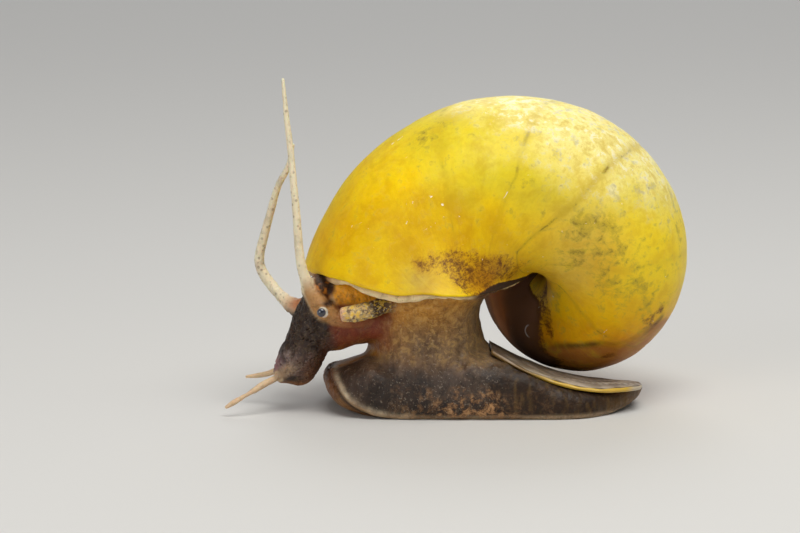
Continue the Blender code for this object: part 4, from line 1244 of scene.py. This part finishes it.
def edge_profile(points):
    """1 on the rolled edge of the mantle, which stands out under the lip of the shell."""
    level = (points - AXIS_AT) @ GROWTH_WAY
    u = angles(720)
    rim = mouth_ring(u, 0.62 + 0 * u, 0.45 + 0 * u)
    found = np.zeros(len(points))
    chosen = np.flatnonzero(np.abs(level) < 3.0)
    for part in np.array_split(chosen, max(1, len(chosen) // 4000)):
        gaps = np.linalg.norm(points[part][:, None] - rim[None], axis=2)
        found[part] = step(gaps.min(axis=1), 0.84, 0.66)
    return found


# Eyes and lid


def make_eye(name, side):
    """The eye: a bulging lens on its stalk, with its own dark middle."""
    centre = np.array(beside_head(EYE_AT, side))
    eye = ball(name, centre, EYE_HALF, 64, 40)
    away = np.linalg.norm((places(eye) - centre)[:, [0, 2]], axis=1) / EYE_HALF[0]
    note_number(eye, "rim", away)
    return eye


def make_operculum():
    """The horny lid: a thin oval plate, cut off at the stalk, with rings of growth about a point.

    Rows run across it at each x, from edge to edge of the oval, above and below, and close at the rim.
    """
    (mid_x, mid_y), (half_x, half_y) = OPERCULUM_MIDDLE, OPERCULUM_HALF
    first = math.acos((OPERCULUM_END - mid_x) / half_x)
    x = mid_x + half_x * np.cos(np.linspace(first, 0.02, 90))[:, None]
    reach = half_y * (1 - np.clip(np.abs((x - mid_x) / half_x), 0, 1) ** (2 / 0.9)) ** 0.45
    spread = np.linspace(-1, 1, 90)
    across = (np.sign(spread) * (1 - (1 - np.abs(spread)) ** 2.2))[None, :]
    y = mid_y + reach * across
    x = x + 0 * y
    centre_off = np.stack([(x - mid_x + 2.0) / half_x, (y - mid_y + 0.8) / half_y], -1)
    ring = np.linalg.norm(centre_off, axis=-1)
    rim = np.clip(1 - np.abs(across), 0, 1) * reach
    edge = 1 - np.exp(-np.minimum(rim, (mid_x + half_x - x)) / 0.09)
    uneven = noise(np.stack([x, y, 0 * x], -1), 2.4, 301, 2)
    grow = 0.035 * np.sin(ring * LID_RINGS) * step(ring, 0.15, 0.3) + 0.06 * uneven
    upper = operculum_height(x, y) - OPERCULUM_THICK / 2 * (1 - edge) + grow * edge
    lower = operculum_height(x, y) - OPERCULUM_THICK + OPERCULUM_THICK / 2 * (1 - edge)
    rows, count = x.shape
    loop = np.concatenate([np.stack([x, y, upper], -1), np.stack([x, y, lower], -1)[:, ::-1]], axis=1)
    plate = ring_object("operculum_plate", loop)
    side = np.broadcast_to(np.concatenate([np.ones(count), np.zeros(count)]), (rows, 2 * count))
    inner = np.concatenate([ring, ring[:, ::-1]], axis=1)
    lip = np.concatenate([rim, rim[:, ::-1]], axis=1)
    bright = step(loop[..., 0], 6.0, 11.0)
    note_rings(plate, {"upper": side, "ring": inner, "rim": lip, "bright": bright})
    return plate


# Materials


class Value:
    """A socket's output in a material. Arithmetic on it adds Math nodes."""

    def __init__(self, finish, socket):
        self.finish = finish
        self.socket = socket

    def math(self, operation, one, two):
        """A Math node that takes two values."""
        return self.finish.add("ShaderNodeMath", {"operation": operation}, {0: one, 1: two})

    def __add__(self, other):
        return self.math("ADD", self, other)

    def __radd__(self, other):
        return self.math("ADD", other, self)

    def __sub__(self, other):
        return self.math("SUBTRACT", self, other)

    def __rsub__(self, other):
        return self.math("SUBTRACT", other, self)

    def __mul__(self, other):
        return self.math("MULTIPLY", self, other)

    def __rmul__(self, other):
        return self.math("MULTIPLY", other, self)


class Finish:
    """A material's nodes, with one method that adds any of them, and the base colour as it is laid on."""

    def __init__(self, name):
        self.material = bpy.data.materials.new(name)
        self.material.use_nodes = True
        self.tree = self.material.node_tree
        self.shader = self.tree.nodes["Principled BSDF"]
        self.base = None

    def add(self, kind, settings=None, sockets=None, output=0):
        """Adds a node: its settings first, then the values or links of its sockets. Returns one output."""
        node = self.tree.nodes.new(kind)
        for key, value in (settings or {}).items():
            setattr(node, key, value)
        for key, value in (sockets or {}).items():
            self.plug(node.inputs[key], value)
        return Value(self, node.outputs[output])

    def plug(self, socket, value):
        """Links a socket to a Value, or sets its own number or colour."""
        if isinstance(value, Value):
            self.tree.links.new(value.socket, socket)
        else:
            socket.default_value = value

    def set(self, **sockets):
        """Sets or links sockets of the shader; an underscore in a name stands for a space."""
        for key, value in sockets.items():
            self.plug(self.shader.inputs[key.replace("_", " ")], value)

    def object_place(self):
        """The place on the object, in metres."""
        return self.add("ShaderNodeTexCoord", output=3)

    def first_part(self, vector):
        """The X of a vector."""
        return self.add("ShaderNodeSeparateXYZ", sockets={0: vector})

    def number(self, name):
        """A number kept on the points."""
        return self.add("ShaderNodeAttribute", {"attribute_name": name}, output=2)

    def colour(self, name):
        """A colour kept on the points."""
        return self.add("ShaderNodeAttribute", {"attribute_name": name}, output=0)

    def of_one(self, operation, value):
        """A Math node that takes one value."""
        return self.add("ShaderNodeMath", {"operation": operation}, {0: value})

    def distance(self, place, middle):
        """How far the place is from a middle that is given in millimetres."""
        middle = tuple(MM * number for number in middle)
        return self.add("ShaderNodeVectorMath", {"operation": "DISTANCE"}, {0: place, 1: middle}, output=1)

    def noise(self, vector, scale, detail=4.0, roughness=0.55, distortion=0.0):
        """Cloudy numbers about 0.5; scale is how many to a metre."""
        sockets = {"Vector": vector, "Scale": scale, "Detail": detail}
        sockets.update({"Roughness": roughness, "Distortion": distortion})
        return self.add("ShaderNodeTexNoise", sockets=sockets)

    def cells(self, vector, scale, feature="F1"):
        """Distance to the middle of the nearest cell, or to its edge."""
        return self.add("ShaderNodeTexVoronoi", {"feature": feature}, {"Vector": vector, "Scale": scale})

    def step(self, value, low, high):
        """0 below low, 1 above high and a smooth S between; high may be the smaller."""
        sockets = {"Value": value, "From Min": low, "From Max": high}
        return self.add("ShaderNodeMapRange", {"interpolation_type": "SMOOTHSTEP"}, sockets)

    def mix(self, share, one, two, blend="MIX"):
        """Mixes two colours. One of three numbers is as a screen shows it, from 0 to 255."""
        settings = {"data_type": "RGBA", "blend_type": blend}
        sockets = {0: share, 6: one, 7: two}
        for key in (6, 7):
            if isinstance(sockets[key], tuple) and len(sockets[key]) == 3:
                sockets[key] = tuple(tint(*sockets[key]))
        return self.add("ShaderNodeMix", settings, sockets, output=2)

    def lay(self, share, colour):
        """Lays a colour over the base colour."""
        self.base = self.mix(share, self.base, colour)

    def bump(self, height, distance, strength=1.0, normal=None):
        """Bends the light as if the surface stood out by a height times a distance in millimetres."""
        sockets = {"Height": height, "Distance": distance * MM, "Strength": strength}
        if normal is not None:
            sockets["Normal"] = normal
        return self.add("ShaderNodeBump", sockets=sockets)


def shell_finish():
    """Golden shell: the colour kept on its points, clouded, with chalky specks and faint growth lines.

    Over it lie dark halts of growth, olive smoke, moss, the dark stain with painted shade round the navel,
    a painted highlight and white chips.
    """
    gold = Finish("shell_gold")
    place = gold.object_place()
    ground, growth = gold.colour("ground"), gold.number("growth")
    inside, navel = gold.number("inside"), gold.number("navel")
    chalky, smoke, moss = gold.number("chalky"), gold.number("smoke"), gold.number("moss")
    circle = (gold.number("around_c"), gold.number("around_s"))

    def along_growth(lines, across):
        """A vector whose noise is drawn out along the growth lines."""
        parts = {0: growth * lines, 1: circle[0] * across, 2: circle[1] * across}
        return gold.add("ShaderNodeCombineXYZ", sockets=parts)

    cloud = gold.noise(place, 330.0, 8.0, 0.68, 0.4)
    speck = gold.noise(place, 1050.0, 7.0, 0.70, 0.3)
    grain = gold.noise(place, 3200.0, 4.0, 0.65)
    lines = gold.noise(along_growth(120.0, 1.6), 1.0, 5.0, 0.6)
    fine_lines = gold.noise(along_growth(620.0, 2.2), 1.0, 3.0, 0.6)

    darker = gold.mix(1.0, ground, (0.80, 0.68, 0.40, 1), "MULTIPLY")
    lighter = gold.mix(0.5, ground, (255, 226, 20))
    gold.base = gold.mix(gold.step(cloud, 0.54, 0.36) * 0.55, ground, darker)
    gold.lay(gold.step(cloud, 0.50, 0.66) * 0.45, lighter)
    gold.lay(gold.step(lines, 0.52, 0.70) * 0.22, lighter)
    gold.lay(gold.step(lines, 0.46, 0.30) * 0.22, darker)
    gold.lay(gold.step(speck, 0.50, 0.36) * (0.18 + chalky * 0.4), gold.mix(0.5, darker, (196, 160, 24)))
    cream = gold.step(speck, 0.51, 0.61) * (0.02 + chalky * 0.9)
    cream = cream + gold.step(grain, 0.64, 0.72) * (0.04 + chalky * 0.2)
    gold.lay(cream, (252, 246, 206))
    # Smoky olive growth
    smoky = gold.step(cloud * 0.45 + speck * 0.55 + (smoke - 0.6) * 0.22, 0.47, 0.60)
    gold.lay(smoky * 0.5, (158, 132, 40))
    smutty = gold.step(cloud * 0.2 + grain * 0.25 + speck * 0.55 + (smoke - 0.8) * 0.2, 0.52, 0.62)
    gold.lay(smutty * 0.55, (112, 92, 34))
    # Halts of growth, broken dark lines
    wiggle = (gold.noise(place, 420.0, 4.0, 0.6) - 0.5) * 0.008
    for at, depth in HALTS:
        gap = gold.of_one("ABSOLUTE", growth + wiggle - at)
        soft = gold.step(gap, 0.010, 0.001)
        gold.lay(soft * (0.30 * depth), (176, 140, 30))
        crisp = gold.step(gap + (speck - 0.5) * 0.006, 0.0030, 0.0006)
        crisp = crisp * gold.step(speck * 0.4 + cloud * 0.6, 0.46, 0.60)
        gold.lay(crisp * (0.8 * depth), (124, 98, 22))
    # Moss, and the dark stain with painted shade round the navel, ragged at their edges; lighter on the
    # wall facing the mouth
    hairs = gold.noise(along_growth(60.0, 34.0), 1.0, 6.0, 0.72, 1.2)
    tufts = speck * 0.45 + hairs * 0.30 + grain * 0.25
    gold.lay(gold.step(tufts + (moss - 0.9) * 0.26, 0.38, 0.62) * 0.8, (160, 100, 10))
    gold.lay(gold.step(tufts + (moss - 0.9) * 0.24, 0.47, 0.62) * 0.85, (84, 48, 8))
    ragged = navel + (tufts - 0.5) * 1.8
    gold.lay(gold.step(ragged, 0.24, 0.44) * 0.75, (136, 84, 22))
    facing = gold.number("facing")
    gold.lay(gold.step(ragged, 0.36, 0.62), gold.mix(facing, (70, 44, 26), (134, 92, 56)))
    gold.lay(gold.step(ragged, 0.60, 1.0) * 0.85, gold.mix(facing, (44, 31, 22), (140, 100, 74)))
    gold.lay(gold.number("strip") * facing * 0.9, (226, 150, 92))
    # Painted highlight: a curved gleam on the wall that faces the mouth
    painted_gleam = gold.of_one("ABSOLUTE", gold.distance(place, PAINTED_GLEAM_AT) - PAINTED_GLEAM_RADIUS * MM)
    across = gold.first_part(place)
    painted_gleam = gold.step(painted_gleam, 0.14 * MM, 0.03 * MM)
    ending = gold.step(across + (cloud - 0.5) * (2 * MM), PAINTED_GLEAM_END * MM, (PAINTED_GLEAM_END - 0.6) * MM)
    gold.lay(painted_gleam * ending * 0.9, (226, 214, 206))
    # Small white chips
    chip = gold.step(gold.noise(place, 620.0, 4.0, 0.6, 1.2), 0.70, 0.73)
    gold.lay(chip * 0.9, (250, 244, 222))
    gold.lay(inside * 0.9, (228, 196, 84))

    dull = gold.step(ragged, 0.3, 0.7)
    normal = gold.bump(lines, 0.08, 0.5)
    for height, distance, strength in ((fine_lines, 0.02, 0.4), (speck, 0.05, 0.6), (grain, 0.02, 0.5)):
        normal = gold.bump(height, distance, strength, normal)
    gold.set(
        Base_Color=gold.base,
        Roughness=0.42 + chalky * 0.2 + (speck - 0.5) * 0.3 + dull * 0.4,
        Specular_IOR_Level=0.18,
        Coat_Weight=0.03 - dull * 0.03,
        Coat_Roughness=0.2,
        Subsurface_Weight=0.25,
        Subsurface_Radius=(1.0, 0.65, 0.12),
        Subsurface_Scale=1.4 * MM,
        Normal=normal,
    )
    return gold.material


def skin_finish():
    """Moist skin: the colour kept on its points, mottled, netted, flecked and rusty low on the foot."""
    skin = Finish("snail_skin")
    place = skin.object_place()
    tissue, mottle, net = skin.colour("tissue"), skin.number("mottle"), skin.number("net")
    fleck, rust, wart = skin.number("fleck"), skin.number("rust"), skin.number("wart")
    stretched = skin.add("ShaderNodeVectorMath", {"operation": "MULTIPLY"}, {0: place, 1: (1.0, 1.0, 0.6)})
    cloud = skin.noise(stretched, 520.0, 9.0, 0.70, 0.4)
    small = skin.noise(stretched, 1900.0, 6.0, 0.70, 0.3)
    tiny = skin.noise(place, 4200.0, 3.0, 0.6)
    dark = skin.mix(1.0, tissue, (0.24, 0.19, 0.17, 1), "MULTIPLY")
    pale = skin.mix(0.4, tissue, (186, 160, 130))
    skin.base = skin.mix(skin.step(cloud, 0.53, 0.36) * mottle * 0.85, tissue, dark)
    skin.lay(skin.step(cloud, 0.55, 0.72) * mottle * 0.5, pale)
    skin.lay(skin.step(small, 0.46, 0.34) * (0.15 + mottle * 0.55), dark)
    skin.lay(skin.step(small, 0.56, 0.68) * mottle * 0.5, pale)
    # Net of lighter fibres on the stalk
    fibres = skin.noise(place, 1500.0, 7.0, 0.72, 0.6)
    skin.lay(skin.step(fibres, 0.50, 0.58) * net * 0.65, skin.mix(0.5, tissue, (218, 176, 98)))
    gaps = skin.step(fibres, 0.47, 0.38)
    skin.lay(gaps * net * 0.6, skin.mix(1.0, tissue, (0.42, 0.34, 0.28, 1), "MULTIPLY"))
    # Rusty and cream crumbs low on the foot
    rusty = skin.noise(place, 1250.0, 6.0, 0.74, 0.4)
    skin.lay(skin.step(rusty, 0.45, 0.55) * rust * 0.75, (134, 94, 58))
    skin.lay(skin.step(rusty, 0.52, 0.64) * rust * 0.75, (194, 148, 98))
    skin.lay(skin.step(tiny, 0.60, 0.68) * mottle * 0.26, (214, 196, 172))
    # Pigment dots on the feelers
    dots = skin.step(skin.cells(place, 1700.0), 0.34, 0.20) * skin.step(small, 0.40, 0.56)
    skin.lay(dots * fleck * 0.6, (104, 78, 56))
    # Warts of the siphon, yellow and brown
    lumps = skin.noise(place, 2300.0, 4.0, 0.6, 0.6)
    skin.lay(skin.step(lumps, 0.52, 0.58) * wart * 0.9, (228, 186, 70))
    skin.lay(skin.step(lumps, 0.46, 0.41) * wart * 0.85, (98, 76, 56))
    skin.lay(skin.step(tiny, 0.56, 0.64) * wart * 0.6, (246, 232, 190))
    # Pale ring round each eye
    for side in (-1, 1):
        away = skin.distance(place, beside_head(EYE_AT, side)) + (small - 0.5) * (0.22 * MM)
        for (end, full), grey in ((EYE_PALE_RING, (206, 198, 180)), (EYE_GREY_RING, (96, 92, 92))):
            skin.lay(skin.step(away, end * MM, full * MM), grey)
    wrinkle = skin.cells(place, 1250.0, "DISTANCE_TO_EDGE")
    normal = skin.bump(cloud, 0.16, 0.7)
    normal = skin.bump(skin.step(wrinkle, 0.0, 0.12), 0.03, 0.5, normal)
    normal = skin.bump(small, 0.08, 0.8, normal)
    normal = skin.bump(tiny, 0.02, 0.6, normal)
    skin.set(
        Base_Color=skin.base,
        Roughness=0.50 + (cloud - 0.5) * 0.4,
        Specular_IOR_Level=0.27,
        Coat_Weight=0.06,
        Coat_Roughness=0.25,
        Subsurface_Weight=0.25,
        Subsurface_Radius=(1.0, 0.45, 0.22),
        Subsurface_Scale=0.8 * MM,
        Normal=normal,
    )
    return skin.material


def eye_finish():
    """Glossy eye: a black middle with a little blue in it, and a grey ring."""
    eye = Finish("eye_dark")
    rim = eye.number("rim")
    eye.base = eye.mix(eye.step(rim, 0.2, 0.62), (14, 17, 30), (32, 36, 52))
    uneven = eye.noise(eye.object_place(), 3000.0) - 0.5
    eye.lay(eye.step(rim + uneven * 0.2, 0.7, 0.95), (70, 72, 84))
    eye.set(Base_Color=eye.base, Roughness=0.12 + rim * 0.1, Coat_Weight=1.0, Coat_Roughness=0.03)
    return eye.material


def lid_finish():
    """Horny lid: grey film over brown horn above, made lighter as painted light where the shell shades it,
    ringed, with an olive and yellow rim, and brown below.
    """
    horn = Finish("lid_horn")
    place = horn.object_place()
    ring, rim, upper = horn.number("ring"), horn.number("rim"), horn.number("upper")
    cloud = horn.noise(place, 380.0, 5.0, 0.6)
    bands = horn.of_one("SINE", ring * LID_RINGS + cloud * 3.0)
    # Grey film of the upper face, made lighter as painted light against the shell's shade over it.
    horn.base = horn.mix(horn.step(cloud, 0.35, 0.7), (122, 112, 100), (196, 186, 172))
    across = horn.first_part(place)
    horn.lay(horn.step(bands, 0.2, 1.0) * 0.35, (92, 72, 48))
    horn.lay(horn.step(across + (cloud - 0.5) * (4 * MM), 10 * MM, 3 * MM) * 0.8, (74, 56, 38))
    horn.lay(horn.step(rim, 0.55, 0.30), (60, 46, 26))
    golden = horn.mix(horn.number("bright"), (112, 84, 40), horn.mix(cloud, (178, 140, 30), (222, 186, 76)))
    horn.lay(horn.step(rim, 0.40, 0.30) * horn.step(cloud, 0.4, 0.6) * 0.6, (206, 200, 188))
    horn.lay(horn.step(rim, 0.28, 0.24), (40, 30, 20))
    horn.lay(horn.step(upper, 0.6, 0.4), (66, 48, 26))
    golden = horn.mix(horn.step(across, 17.2 * MM, 18.4 * MM), golden, (188, 174, 148))
    horn.lay(horn.step(rim, 0.20, 0.14), golden)
    horn.set(
        Base_Color=horn.base,
        Roughness=0.42 + (cloud - 0.5) * 0.25,
        Coat_Weight=0.15,
        Coat_Roughness=0.2,
        Subsurface_Weight=0.1,
        Subsurface_Radius=(1.0, 0.6, 0.2),
        Subsurface_Scale=0.6 * MM,
        Normal=horn.bump(cloud, 0.05, 0.6, horn.bump(bands, 0.03, 0.5)),
    )
    return horn.material


def floor_finish():
    """Plain pale floor, one even colour."""
    floor = Finish("pale_floor")
    floor.set(Base_Color=(0.62, 0.61, 0.59, 1.0), Roughness=0.8)
    return floor.material


# Scene


def dress(piece, material, slot, *nodes):
    """Gives a piece its finish, hangs it under the root and hides the solids that it stands in for."""
    piece.data.materials.clear()
    piece.data.materials.append(material)
    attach(piece, "root")
    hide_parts(*nodes)


def look_along(obj, place, way):
    """Puts a camera or a lamp at a place in metres and turns it to look along a direction."""
    obj.location = place
    obj.rotation_mode = "QUATERNION"
    obj.rotation_quaternion = way.to_track_quat("-Z", "Y")


def make_camera():
    """The photograph's camera, a little above the snail and level with its left side."""
    forward = Vector((0, math.cos(VIEW_DOWN), -math.sin(VIEW_DOWN)))
    data = bpy.data.cameras.new("camera")
    data.sensor_width = 36.0
    data.lens = data.sensor_width * VIEW_FROM / VIEW_WIDTH
    data.clip_start = 0.01
    camera = place_in_scene("camera", data)
    look_along(camera, (VIEW_AT - VIEW_FROM * forward) * MM, forward)
    bpy.context.scene.camera = camera


def make_lamp(name, place, size, power, colour):
    """A square soft light, placed in metres and turned towards the snail."""
    data = bpy.data.lights.new(name, "AREA")
    data.size = size
    data.energy = power
    data.color = colour
    look_along(place_in_scene(name, data), place, Vector(LAMPS_AIM) - Vector(place))


def make_studio():
    """Pale floor, a soft key from above, a weaker fill from the left and a light from behind."""
    corners = np.array([(-1, -1, 0), (1, -1, 0), (1, 1, 0), (-1, 1, 0)]) * FLOOR_REACH
    mesh = bpy.data.meshes.new("floor")
    mesh.from_pydata((corners * MM).tolist(), [], [(0, 1, 2, 3)])
    floor = place_in_scene("floor", mesh)
    mesh.materials.append(floor_finish())
    for lamp in LAMPS:
        make_lamp(*lamp)
    world = bpy.data.worlds.new("studio")
    bpy.context.scene.world = world
    world.use_nodes = True
    background = world.node_tree.nodes["Background"]
    background.inputs["Color"].default_value = SKY_COLOUR
    background.inputs["Strength"].default_value = SKY_STRENGTH
    bpy.context.scene.view_settings.view_transform = "Standard"


make_camera()
make_studio()
dress(make_shell(), shell_finish(), "shell", "shell")
dress(make_operculum(), lid_finish(), "operculum", "operculum")
dress(make_eye("eye_lens_left", -1), eye_finish(), "eyes", "eye_left")
dress(make_eye("eye_lens_right", 1), bpy.data.materials["eye_dark"], "eyes", "eye_right")
dress(make_skin(), skin_finish(), "flesh", *FLESH_NODES)
